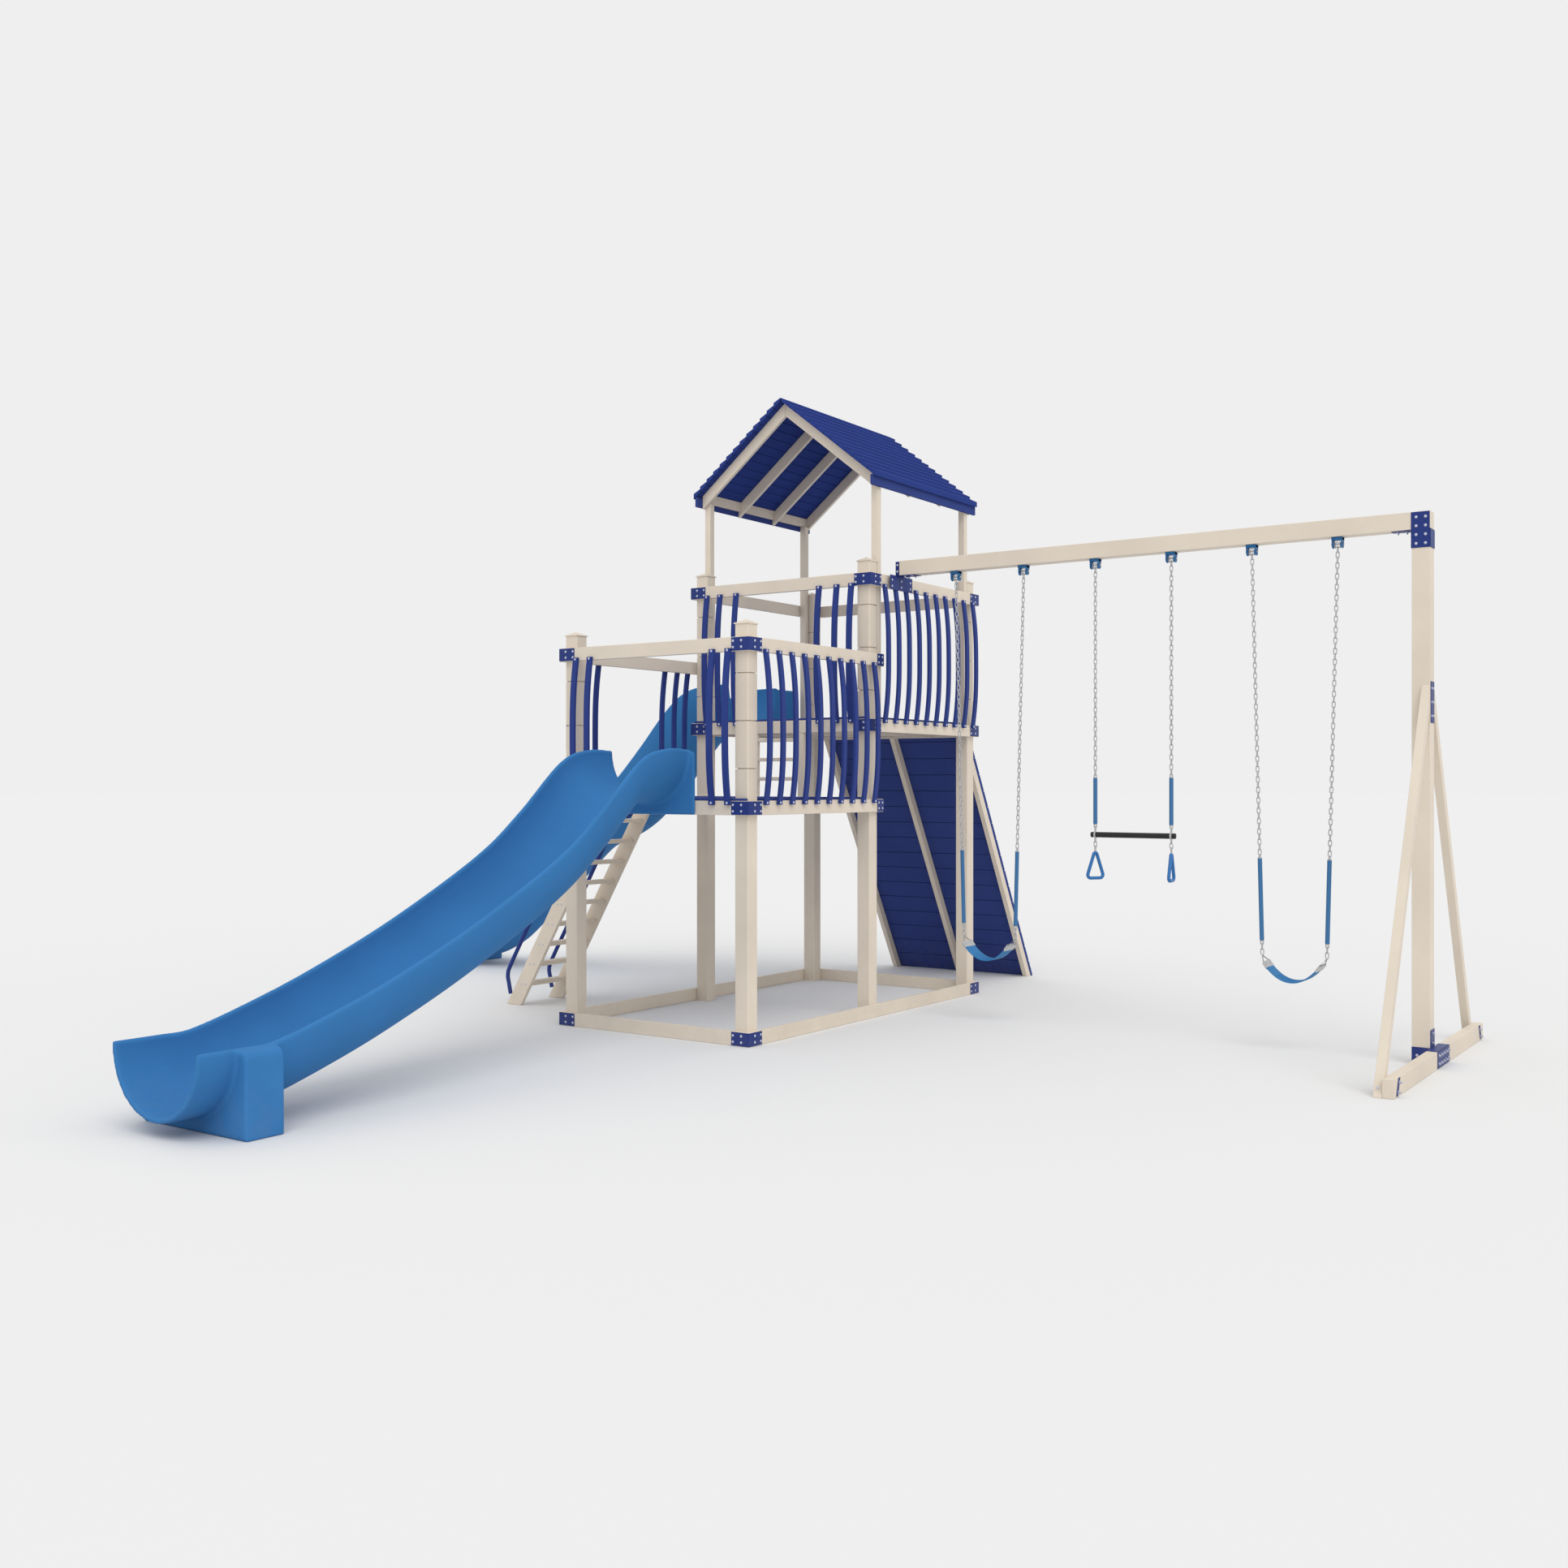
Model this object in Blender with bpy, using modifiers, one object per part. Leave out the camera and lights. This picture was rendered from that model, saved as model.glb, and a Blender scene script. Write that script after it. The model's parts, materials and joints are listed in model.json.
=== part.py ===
"""Backyard play set: a two-level tower with a gable roof, two slides, a ladder, a climbing ramp and a
three-bay swing beam. Metres, +Z up. The origin is on the ground under the middle of the front base beam."""

import math

import bmesh
import bpy
from mathutils import Matrix, Vector

# Stock sizes
POST = 0.1016
BOARD = 0.028
BOARD_HEIGHT = 0.09
PLATE = 0.003
GAP = 0.0004
OVERLAP = 0.001
POST_CLEARANCE = 0.001

# Tower
TOWER_WIDTH = 1.585
TOWER_FRONT = -BOARD / 2
TOWER_BACK = 3.0245
UPPER_FRONT = 1.4226
LOWER_BOARD_END = 1.5916
LOWER_RIM_TOP = 1.524
LOWER_RAIL_TOP = 2.545
UPPER_RIM_TOP = 2.085
UPPER_RAIL_TOP = 3.105
LOWER_POST_TOP = 2.628
UPPER_POST_TOP = 3.189
CAP_WIDTH = 0.108
CAP_EDGE = 0.006
CAP_RISE = 0.017
DECK_BOARD = 0.024
DECK_ABOVE_RIM = 0.015
JOIST_PLACES = (-0.38, 0.0, 0.38)
BRACKET_ARM = 0.135
BRACKET_HEIGHT = 0.084

# Guard bars
BAR_WIDTH = 0.038
BAR_THICKNESS = 0.0175
BAR_BULGE = 0.046
BAR_TOP_BELOW_RAIL = 0.070
BAR_BOTTOM_BELOW_RIM = 0.027
BAR_FLAT = 0.024
BAR_FOOT_OFF = 0.0038
SIDE_BARS = 10
LOWER_SIDE_FIRST, LOWER_SIDE_LAST = 0.154, 1.453
UPPER_SIDE_FIRST, UPPER_SIDE_LAST = 1.596, 2.909
SLIDE_BAR_PLACES = (-0.636, -0.512, 0.512, 0.636)
ACCESS_BAR_PLACES = (-0.637, -0.515, -0.366, 0.366, 0.515, 0.637)
LADDER_BAR_PLACES = (0.123, 0.247, 0.390, 1.122, 1.266, 1.390)

# Roof
ROOF_POST = 0.05
ROOF_POST_TOP = 3.755
ROOF_MIDDLE = (UPPER_FRONT + TOWER_BACK) / 2
ROOF_LENGTH = 1.527
RAFTER_APEX = 4.412
RAFTER_DEPTH = 0.099
RAFTER_FOOT = 0.764
RAFTER_SPAN = 1.399
RAFTERS = 4
ROOF_SLOPE = 0.79
EAVE = 0.80
COURSES = 13
COURSE_THIN, COURSE_THICK = 0.026, 0.040
FASCIA_LOW, FASCIA = 3.72, 0.020
WALL_PLATE_LOW, WALL_PLATE_WIDTH = 3.756, 0.027

# Slides: rim lines as (distance out from the tower, height)
TROUGH_RADIUS = 0.337
TROUGH_WALL = 0.027
TROUGH_SIDES = 12
TROUGH_STEP = 0.16
SLIDE_PLATE = 0.012
SLIDE_FOOT_HALF = 0.40
FRONT_RIM_LINE = (
    (0.0, 1.839), (0.25, 1.836), (0.485, 1.757), (0.855, 1.443), (1.202, 1.196), (1.834, 0.875),
    (2.395, 0.643), (2.801, 0.505), (3.13, 0.415), (3.30, 0.409), (3.54, 0.409),
)
LEFT_RIM_LINE = (
    (0.0, 2.40), (0.28, 2.385), (0.47, 2.327), (0.66, 2.170), (0.88, 1.931), (1.14, 1.670),
    (1.34, 1.520), (1.70, 1.370), (2.00, 1.140), (2.35, 0.840), (2.67, 0.570), (2.82, 0.470),
    (2.98, 0.412), (3.20, 0.409), (3.60, 0.409),
)
LEFT_SLIDE_MIDDLE = 2.223

# Ladder to the lower deck
LADDER_LEAN = 0.60
LADDER_FOOT = -1.80
LADDER_FOOT_WIDTH = 0.14
LADDER_NEAR, LADDER_FAR = 0.498, 0.968
STRINGER = 0.03
TREADS = 9
FIRST_TREAD, TREAD_RISE = 0.158, 0.1506
TREAD_DEPTH, TREAD_THICKNESS = 0.10, 0.026
HANDRAIL_RADIUS = 0.015

# Steps from the lower deck to the upper deck
STEP_HALF_WIDTH = 0.226
STEP_STILE = 0.05
STEPS = 3

# Climbing ramp
RAMP_HALF_WIDTH = 0.656
RAMP_FOOT = 4.278
RAMP_LEAN = 0.568
RAMP_PANEL = 0.0414
RAMP_STRINGER_DEPTH = 0.069
RAMP_STRINGER = 0.04
RAMP_TOP = 2.10

# Swing beam
SWING_Y = 1.783
BEAM = 0.1016
BEAM_BOTTOM = 3.109
BEAM_START, BEAM_END = 0.838, 4.388
GROUND_BEAM_START, GROUND_BEAM_END = 0.62, 2.946
GROUND_BEAM_WIDTH, GROUND_BEAM_HEIGHT = 0.06, 0.10
BRACE_FOOT = 0.617
BRACE_LEAN = 0.506
BRACE_WIDTH = 0.0672
BRACE_THICKNESS = 0.047
FIRST_HANGER, HANGER_PITCH = 1.266, 0.5178
PIVOT_Z = 3.068
CHEEK_SPACE = 0.017
PIN_RADIUS = 0.005

# Swings
CHAIN_RADIUS = 0.006
SLEEVE_RADIUS = 0.0135
SEAT_PIVOT_Z = 0.575
SEAT_PIVOT_INSET = 0.064
SEAT_BOTTOM = 0.42
BELT_WIDTH = 0.14
BELT_THICKNESS = 0.008
BAR_Z = 1.296
TRAPEZE_BAR_RADIUS = 0.018
RING_PIVOT_Z = 1.255
RING_PLAY = 0.006
RING_TOP, RING_BOTTOM = 1.188, 1.000
RING_HALF_WIDTH = 0.057
RING_TUBE = 0.011
RING_TURNS = (55.0, 95.0)

HALF = TOWER_WIDTH / 2
POST_INSET = BOARD + GAP + POST / 2
POST_X = HALF - POST_INSET
POST_FRONT_Y = TOWER_FRONT + POST_INSET
POST_MID_Y = UPPER_FRONT + POST_INSET
POST_REAR_Y = TOWER_BACK - POST_INSET

FINISHES = {
    "almond": ((0.73, 0.64, 0.54), 0.55, 0.0),
    "navy": ((0.022, 0.038, 0.19), 0.5, 0.0),
    "blue": ((0.04, 0.18, 0.46), 0.4, 0.0),
    "bracket": ((0.022, 0.038, 0.17), 0.45, 0.3),
    "chain": ((0.55, 0.55, 0.54), 0.35, 1.0),
    "rubber": ((0.03, 0.19, 0.42), 0.6, 0.0),
    "black": ((0.02, 0.02, 0.02), 0.5, 0.0),
}


def clear_scene():
    for old in list(bpy.data.objects):
        bpy.data.objects.remove(old, do_unlink=True)


def new_collection(name):
    made = bpy.data.collections.new(name)
    bpy.context.scene.collection.children.link(made)
    return made


def add(name, mesh, collection):
    made = bpy.data.objects.new(name, mesh)
    collection.objects.link(made)
    return made


def finish(obj, slot):
    """Give an object its own material of one of the finishes."""
    colour, roughness, metallic = FINISHES[slot]
    made = bpy.data.materials.new(f"{obj.name}_{slot}")
    made.use_nodes = True
    shader = made.node_tree.nodes["Principled BSDF"]
    shader.inputs["Base Color"].default_value = (*colour, 1.0)
    shader.inputs["Roughness"].default_value = roughness
    shader.inputs["Metallic"].default_value = metallic
    obj.data.materials.clear()
    obj.data.materials.append(made)
    return obj


def box(low, high):
    """A rectangular solid between two corners."""
    mesh = bpy.data.meshes.new("box")
    cube = bmesh.new()
    size = [b - a for a, b in zip(low, high)]
    middle = [(a + b) / 2 for a, b in zip(low, high)]
    bmesh.ops.create_cube(cube, size=1.0, matrix=Matrix.LocRotScale(middle, None, size))
    cube.to_mesh(mesh)
    cube.free()
    return add("box", mesh, shop)


def rod(start, end, radius, sides=8, end_radius=None):
    """A round bar from one point to another; end_radius makes it a cone."""
    start, end = Vector(start), Vector(end)
    turn = (end - start).to_track_quat("Z", "Y")
    mesh = bpy.data.meshes.new("rod")
    cone = bmesh.new()
    bmesh.ops.create_cone(
        cone, cap_ends=True, segments=sides, radius1=radius,
        radius2=radius if end_radius is None else end_radius, depth=(end - start).length,
        matrix=Matrix.LocRotScale((start + end) / 2, turn, None),
    )
    cone.to_mesh(mesh)
    cone.free()
    return add("rod", mesh, shop)


def as_mesh(curve_object):
    """Turn a curve object into a mesh object with its caps welded on."""
    graph = bpy.context.evaluated_depsgraph_get()
    mesh = bpy.data.meshes.new_from_object(curve_object.evaluated_get(graph))
    weld = bmesh.new()
    weld.from_mesh(mesh)
    bmesh.ops.remove_doubles(weld, verts=weld.verts, dist=0.00002)
    bmesh.ops.recalc_face_normals(weld, faces=weld.faces)
    weld.to_mesh(mesh)
    weld.free()
    made = add(curve_object.name, mesh, shop)
    made.matrix_world = curve_object.matrix_world.copy()
    bpy.data.objects.remove(curve_object)
    return made


def slab(outline, start, end, across):
    """A flat outline with thickness. across is "y" for an (x, z) outline, "x" for a (y, z) outline."""
    solid = bmesh.new()
    ends = []
    for depth in (start, end):
        if across == "y":
            corners = [(first, depth, second) for first, second in outline]
        else:
            corners = [(depth, first, second) for first, second in outline]
        ends.append([solid.verts.new(corner) for corner in corners])
    near, far = ends
    solid.faces.new(near)
    solid.faces.new(far[::-1])
    for k in range(len(outline)):
        solid.faces.new((near[k - 1], near[k], far[k], far[k - 1]))
    bmesh.ops.recalc_face_normals(solid, faces=solid.faces)
    bmesh.ops.triangulate(solid, faces=solid.faces)
    mesh = bpy.data.meshes.new("slab")
    solid.to_mesh(mesh)
    solid.free()
    return add("slab", mesh, shop)


def tube(points, radius, closed=False, resolution=2):
    """A round tube along a line of points."""
    curve = bpy.data.curves.new("tube", "CURVE")
    curve.dimensions = "3D"
    curve.bevel_depth = radius
    curve.bevel_resolution = resolution
    curve.use_fill_caps = True
    line = curve.splines.new("POLY")
    line.points.add(len(points) - 1)
    for point, place in zip(line.points, points):
        point.co = (*place, 1.0)
    line.use_cyclic_u = closed
    made = add("tube", curve, shop)
    bpy.context.view_layer.update()
    return as_mesh(made)


def baked(obj):
    """The object's mesh with its modifiers worked in."""
    bpy.context.view_layer.update()
    graph = bpy.context.evaluated_depsgraph_get()
    mesh = bpy.data.meshes.new_from_object(obj.evaluated_get(graph))
    obj.modifiers.clear()
    obj.data = mesh
    return obj


def to_world(obj):
    """Move an object's placement into its mesh."""
    obj.data.transform(obj.matrix_basis)
    obj.matrix_basis = Matrix.Identity(4)
    return obj


def boolean(target, pieces, operation):
    """Union with, or cut away, each of the pieces in turn."""
    for piece in pieces:
        to_world(piece)
        modifier = target.modifiers.new(operation.lower(), "BOOLEAN")
        modifier.operation = operation
        modifier.object = piece
        baked(target)
        bpy.data.objects.remove(piece)
    return target


def join(pieces):
    """One solid from overlapping ones."""
    first, *others = pieces
    return boolean(to_world(first), others, "UNION") if others else to_world(first)


def cut(target, cutters):
    return boolean(to_world(target), cutters, "DIFFERENCE")


def part(name, solid, slot, parent=None):
    """File a finished solid under its name, its finish and, if it moves, its joint's empty."""
    to_world(solid)
    solid.name = name
    solid.data.name = name
    shop.objects.unlink(solid)
    play_set.objects.link(solid)
    finish(solid, slot)
    if parent is not None:
        solid.data.transform(Matrix.Translation(-parent.location))
        solid.parent = parent
    return solid


def pivot(name, place):
    """An empty on a joint's axis, which lies along X."""
    made = bpy.data.objects.new(name, None)
    made.location = place
    made.empty_display_size = 0.1
    play_set.objects.link(made)
    return made


def smooth_line(points, step):
    """Points about a step apart on a smooth curve through the given ones."""
    ends = [Vector(p) for p in points]
    before = [2 * ends[0] - ends[1]] + ends
    after = ends + [2 * ends[-1] - ends[-2]]
    line = [ends[0]]
    for i in range(len(ends) - 1):
        a, b, c = before[i], ends[i], ends[i + 1]
        d = after[i + 2]
        pieces = max(1, round((c - b).length / step))
        for k in range(1, pieces + 1):
            t = k / pieces
            line.append(
                0.5 * ((2 * b) + (c - a) * t + (2 * a - 5 * b + 4 * c - d) * t**2
                       + (3 * b - a - 3 * c + d) * t**3)
            )
    return line


def arc(centre, radius, first, last, count):
    """Points on a circle, angles in degrees."""
    points = []
    for k in range(count + 1):
        angle = math.radians(first + (last - first) * k / count)
        points.append((centre[0] + radius * math.cos(angle), centre[1] + radius * math.sin(angle)))
    return points


def make_posts():
    rows = (
        ("front", POST_FRONT_Y, LOWER_POST_TOP),
        ("mid", POST_MID_Y, UPPER_POST_TOP),
        ("rear", POST_REAR_Y, UPPER_POST_TOP),
    )
    for row, y, top in rows:
        for side, x in (("left", -POST_X), ("right", POST_X)):
            half = POST / 2
            shaft = box((x - half, y - half, 0), (x + half, y + half, top))
            half = CAP_WIDTH / 2
            edge = box((x - half, y - half, top - OVERLAP), (x + half, y + half, top + CAP_EDGE))
            rise_start = top + CAP_EDGE - OVERLAP
            peak = rod((0, 0, 0), (0, 0, CAP_RISE), half * 1.3, 4, 0.004)
            peak.matrix_world = Matrix.Translation((x, y, rise_start)) @ Matrix.Rotation(math.pi / 4, 4, "Z")
            part(f"post_{row}_{side}", join([shaft, edge, peak]), "almond")


def bracket_span(top):
    """The lowest and highest z of a bracket on a board whose top is at top."""
    middle = top - BOARD_HEIGHT / 2
    return middle - BRACKET_HEIGHT / 2, middle + BRACKET_HEIGHT / 2


def corner_plates(x_side, y, y_side, top, stand_off=GAP):
    """The two arms of a bracket around an outer corner of the tower at y; y_side says which way is out."""
    low, high = bracket_span(top)
    inner = HALF - OVERLAP / 2
    outer = HALF + GAP + PLATE
    y_in, y_out = y - y_side * BRACKET_ARM, y + y_side * (GAP + PLATE)
    side = box(
        (min(x_side * inner, x_side * outer), min(y_in, y_out), low),
        (max(x_side * inner, x_side * outer), max(y_in, y_out), high),
    )
    x_in = x_side * (HALF - BRACKET_ARM)
    x_out = x_side * outer
    y_near = y + y_side * stand_off
    face = box((min(x_in, x_out), min(y_near, y_out), low), (max(x_in, x_out), max(y_near, y_out), high))
    return [side, face]


def end_plate(x_side, y_end, top):
    """A flat plate on the outer face of a side board that stops at y_end."""
    low, high = bracket_span(top)
    xs = sorted((x_side * (HALF - OVERLAP / 2), x_side * (HALF + GAP + PLATE)))
    return box((xs[0], y_end - BRACKET_ARM, low), (xs[1], y_end + PLATE, high))


def side_board(x_side, y_start, y_end, top):
    xs = sorted((x_side * (HALF - BOARD), x_side * HALF))
    return box((xs[0], y_start, top - BOARD_HEIGHT), (xs[1], y_end, top))


def cross_board(y_outer, y_side, top, gap=GAP):
    """A board between the side boards whose outer face is at y_outer."""
    ys = sorted((y_outer, y_outer - y_side * BOARD))
    half = HALF - BOARD - gap
    return box((-half, ys[0], top - BOARD_HEIGHT), (half, ys[1], top))


def make_base():
    for side, x_side in (("left", -1), ("right", 1)):
        pieces = [side_board(x_side, TOWER_FRONT, TOWER_BACK, BOARD_HEIGHT)]
        pieces += corner_plates(x_side, TOWER_FRONT, -1, BOARD_HEIGHT)
        pieces += corner_plates(x_side, TOWER_BACK, 1, BOARD_HEIGHT)
        part(f"base_beam_{side}", join(pieces), "almond")
    part("base_beam_front", cross_board(TOWER_FRONT, -1, BOARD_HEIGHT), "almond")
    part("base_beam_rear", cross_board(TOWER_BACK, 1, BOARD_HEIGHT), "almond")


def post_holes(places):
    """Cutters for the posts that a deck is notched around."""
    half = POST / 2 + POST_CLEARANCE
    return [box((x - half, y - half, 0), (x + half, y + half, 4)) for x in (-POST_X, POST_X) for y in places]


def make_deck(name, rim_top, front, back, rear_joist_y, posts, rim_back):
    """Rim boards, joists and deck boards as one solid. rear_joist_y is None where a rim board closes it."""
    under_boards = rim_top + DECK_ABOVE_RIM - DECK_BOARD
    pieces = [side_board(-1, front, back, rim_top), side_board(1, front, back, rim_top)]
    pieces.append(cross_board(front, -1, rim_top, gap=-OVERLAP))
    if rear_joist_y is None:
        pieces.append(cross_board(back, 1, rim_top, gap=-OVERLAP))
        joist_end = back - BOARD + OVERLAP
    else:
        half = HALF - BOARD + OVERLAP
        low, high = rim_top - BOARD_HEIGHT, under_boards + OVERLAP
        pieces.append(box((-half, rear_joist_y, low), (half, rear_joist_y + BOARD, high)))
        joist_end = rear_joist_y + OVERLAP
    for x in JOIST_PLACES:
        low = (x - BOARD / 2, front + BOARD - OVERLAP, rim_top - BOARD_HEIGHT + OVERLAP)
        pieces.append(box(low, (x + BOARD / 2, joist_end, under_boards + OVERLAP)))
    half = HALF - BOARD + OVERLAP
    boards_back = joist_end + BOARD - OVERLAP if rear_joist_y is not None else joist_end
    boards_low = (-half, front + BOARD - OVERLAP, under_boards)
    pieces.append(box(boards_low, (half, boards_back, rim_top + DECK_ABOVE_RIM)))
    for x_side in (-1, 1):
        pieces += corner_plates(x_side, front, -1, rim_top, -OVERLAP)
        if rim_back:
            pieces += corner_plates(x_side, back, 1, rim_top, -OVERLAP)
        else:
            pieces.append(end_plate(x_side, back, rim_top))
    part(name, cut(join(pieces), post_holes(posts)), "almond")


def bar(rail_top, rim_top):
    """One curved guard bar as an (outward, height) outline."""
    top = rail_top - BAR_TOP_BELOW_RAIL
    bottom = rim_top - BAR_BOTTOM_BELOW_RIM
    arc_top, arc_bottom = top - BAR_FLAT, bottom + BAR_FLAT
    inner = [(-OVERLAP, top), (-OVERLAP, arc_top)]
    steps = 7
    for k in range(1, steps):
        t = k / steps
        inner.append((BAR_BULGE * math.sin(math.pi * t) + GAP, arc_top + (arc_bottom - arc_top) * t))
    inner += [(BAR_FOOT_OFF, arc_bottom), (BAR_FOOT_OFF, bottom)]
    outer = [(x + BAR_THICKNESS, z) for x, z in inner]
    return inner + outer[::-1]


def side_guard(name, x_side, start, end, places, rail_top, rim_top, front_wrap, rear_wrap):
    """A side rail with its bars bolted on and its end brackets."""
    outline = [(x_side * (HALF + outward), z) for outward, z in bar(rail_top, rim_top)]
    pieces = [side_board(x_side, start, end, rail_top)]
    for y in places:
        pieces.append(slab(outline, y - BAR_WIDTH / 2, y + BAR_WIDTH / 2, "y"))
    if front_wrap:
        pieces += corner_plates(x_side, start, -1, rail_top)
    pieces += corner_plates(x_side, end, 1, rail_top) if rear_wrap else [end_plate(x_side, end, rail_top)]
    part(name, join(pieces), "navy")


def front_guard(name, y_outer, places, rail_top, rim_top):
    """A front rail with bars either side of its opening."""
    outline = [(y_outer - outward, z) for outward, z in bar(rail_top, rim_top)]
    pieces = [cross_board(y_outer, -1, rail_top)]
    for x in places:
        pieces.append(slab(outline, x - BAR_WIDTH / 2, x + BAR_WIDTH / 2, "x"))
    part(name, join(pieces), "navy")


def spread(first, last, count):
    return [first + (last - first) * k / (count - 1) for k in range(count)]


def make_guards():
    lower, upper = (LOWER_RAIL_TOP, LOWER_RIM_TOP), (UPPER_RAIL_TOP, UPPER_RIM_TOP)
    lower_bars = spread(LOWER_SIDE_FIRST, LOWER_SIDE_LAST, SIDE_BARS)
    upper_bars = spread(UPPER_SIDE_FIRST, UPPER_SIDE_LAST, SIDE_BARS)
    side_guard("lower_guard_right", 1, TOWER_FRONT, LOWER_BOARD_END, lower_bars, *lower, True, False)
    side_guard("lower_guard_left", -1, TOWER_FRONT, LOWER_BOARD_END, LADDER_BAR_PLACES, *lower, True, False)
    side_guard("upper_guard_right", 1, UPPER_FRONT, TOWER_BACK, upper_bars, *upper, True, True)
    side_guard("upper_rail_left", -1, UPPER_FRONT, TOWER_BACK, (), *upper, True, True)
    front_guard("lower_guard_front", TOWER_FRONT, SLIDE_BAR_PLACES, *lower)
    front_guard("upper_guard_front", UPPER_FRONT, ACCESS_BAR_PLACES, *upper)
    part("upper_rail_rear", cross_board(TOWER_BACK, 1, UPPER_RAIL_TOP), "almond")


def make_roof():
    inner = POST_X + POST / 2 - ROOF_POST
    deck_top = UPPER_RIM_TOP + DECK_ABOVE_RIM + GAP
    rows = (
        ("front", POST_MID_Y + CAP_WIDTH / 2 + GAP),
        ("rear", POST_REAR_Y - CAP_WIDTH / 2 - GAP - ROOF_POST),
    )
    for row, y in rows:
        for side, x_side in (("left", -1), ("right", 1)):
            xs = sorted((x_side * inner, x_side * (inner + ROOF_POST)))
            low, high = (xs[0], y, deck_top), (xs[1], y + ROOF_POST, ROOF_POST_TOP)
            part(f"roof_post_{row}_{side}", box(low, high), "almond")
    make_roof_frame()
    make_roof_panels()


def roof_height(x, base):
    return base - ROOF_SLOPE * abs(x)


def make_roof_frame():
    foot = RAFTER_FOOT
    rafter = [
        (0, RAFTER_APEX), (-foot, roof_height(foot, RAFTER_APEX)),
        (-foot, roof_height(foot, RAFTER_APEX - RAFTER_DEPTH)), (0, RAFTER_APEX - RAFTER_DEPTH),
        (foot, roof_height(foot, RAFTER_APEX - RAFTER_DEPTH)), (foot, roof_height(foot, RAFTER_APEX)),
    ]
    first = ROOF_MIDDLE - RAFTER_SPAN / 2
    pieces = []
    for y in spread(first, first + RAFTER_SPAN - BOARD, RAFTERS):
        pieces.append(slab(rafter, y, y + BOARD, "y"))
    for x_side in (-1, 1):
        outside = x_side * (foot - 2 * OVERLAP)
        inside = x_side * (foot - WALL_PLATE_WIDTH)
        outline = [
            (outside, WALL_PLATE_LOW), (outside, roof_height(outside, RAFTER_APEX) - OVERLAP),
            (inside, roof_height(inside, RAFTER_APEX) - OVERLAP), (inside, WALL_PLATE_LOW),
        ]
        pieces.append(slab(outline, first + OVERLAP, first + RAFTER_SPAN - OVERLAP, "y"))
    part("roof_frame", join(pieces), "almond")


def make_roof_panels():
    """Lapped courses: each one is thin at its top edge and thick at its butt."""
    y_start, y_end = ROOF_MIDDLE - ROOF_LENGTH / 2, ROOF_MIDDLE + ROOF_LENGTH / 2
    under = RAFTER_APEX + GAP
    for side, x_side in (("left", -1), ("right", 1)):
        outline = [(x_side * EAVE, roof_height(EAVE, under)), (x_side * GAP, roof_height(GAP, under))]
        for k in range(COURSES):
            near = GAP + (EAVE - GAP) * k / COURSES
            far = GAP + (EAVE - GAP) * (k + 1) / COURSES
            outline.append((x_side * near, roof_height(near, under) + COURSE_THIN))
            outline.append((x_side * far, roof_height(far, under) + COURSE_THICK))
        panel = slab(outline, y_start, y_end, "y")
        xs = sorted((x_side * (RAFTER_FOOT + 2 * GAP), x_side * (RAFTER_FOOT + 2 * GAP + FASCIA)))
        fascia_top = roof_height(RAFTER_FOOT + FASCIA, under) + COURSE_THIN / 2
        fascia = box((xs[0], y_start + OVERLAP, FASCIA_LOW), (xs[1], y_end - OVERLAP, fascia_top))
        part(f"roof_panel_{side}", join([panel, fascia]), "navy")


def notched(half, low, rim, radius):
    """A plate outline, flat at its foot, with a round trough let into its top edge."""
    trough = arc((0.0, rim), radius, 0, -180, TROUGH_SIDES)
    return [(-half, low), (half, low), (half, rim)] + trough + [(-half, rim)]


def make_slide(name, rim_line, plate_half, rim_board_low, foot, place, turn):
    """A half-round trough along a rim line, its mounting plate and its moulded foot. It runs to -Y."""
    line = smooth_line(rim_line, TROUGH_STEP)
    start = SLIDE_PLATE / 4
    line[0] = Vector((start, line[0].y))
    rows = []
    surface = bmesh.new()
    for i, here in enumerate(line):
        along = (line[min(i + 1, len(line) - 1)] - line[max(i - 1, 0)]).normalized()
        if i in (0, len(line) - 1):
            along = Vector((1.0, 0.0))
        down = Vector((along.y, -along.x))
        row = []
        for x, depth in arc((0.0, 0.0), TROUGH_RADIUS, 0, 180, TROUGH_SIDES):
            spot = here + down * depth
            row.append(surface.verts.new((x, -spot.x, spot.y)))
        rows.append(row)
    for near, far in zip(rows, rows[1:]):
        for k in range(TROUGH_SIDES):
            surface.faces.new((near[k], near[k + 1], far[k + 1], far[k]))
    bmesh.ops.recalc_face_normals(surface, faces=surface.faces)
    mesh = bpy.data.meshes.new("trough")
    surface.to_mesh(mesh)
    surface.free()
    trough = add("trough", mesh, shop)
    shell = trough.modifiers.new("wall", "SOLIDIFY")
    shell.thickness = TROUGH_WALL
    shell.offset = -1.0 if mesh.polygons[TROUGH_SIDES // 2].normal.z < 0 else 1.0
    baked(trough)
    middle_of_wall = TROUGH_RADIUS - TROUGH_WALL / 2
    rim = rim_line[0][1]
    plate = slab(notched(plate_half, rim_board_low, rim, middle_of_wall), -SLIDE_PLATE - GAP, -GAP, "y")
    foot_rim = rim_line[-1][1]
    block = slab(notched(SLIDE_FOOT_HALF, 0.0, foot_rim, middle_of_wall), -foot[1], -foot[0], "y")
    solid = join([trough, plate, block])
    solid.matrix_basis = Matrix.Translation(place) @ Matrix.Rotation(math.radians(turn), 4, "Z")
    part(name, solid, "blue")


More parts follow.
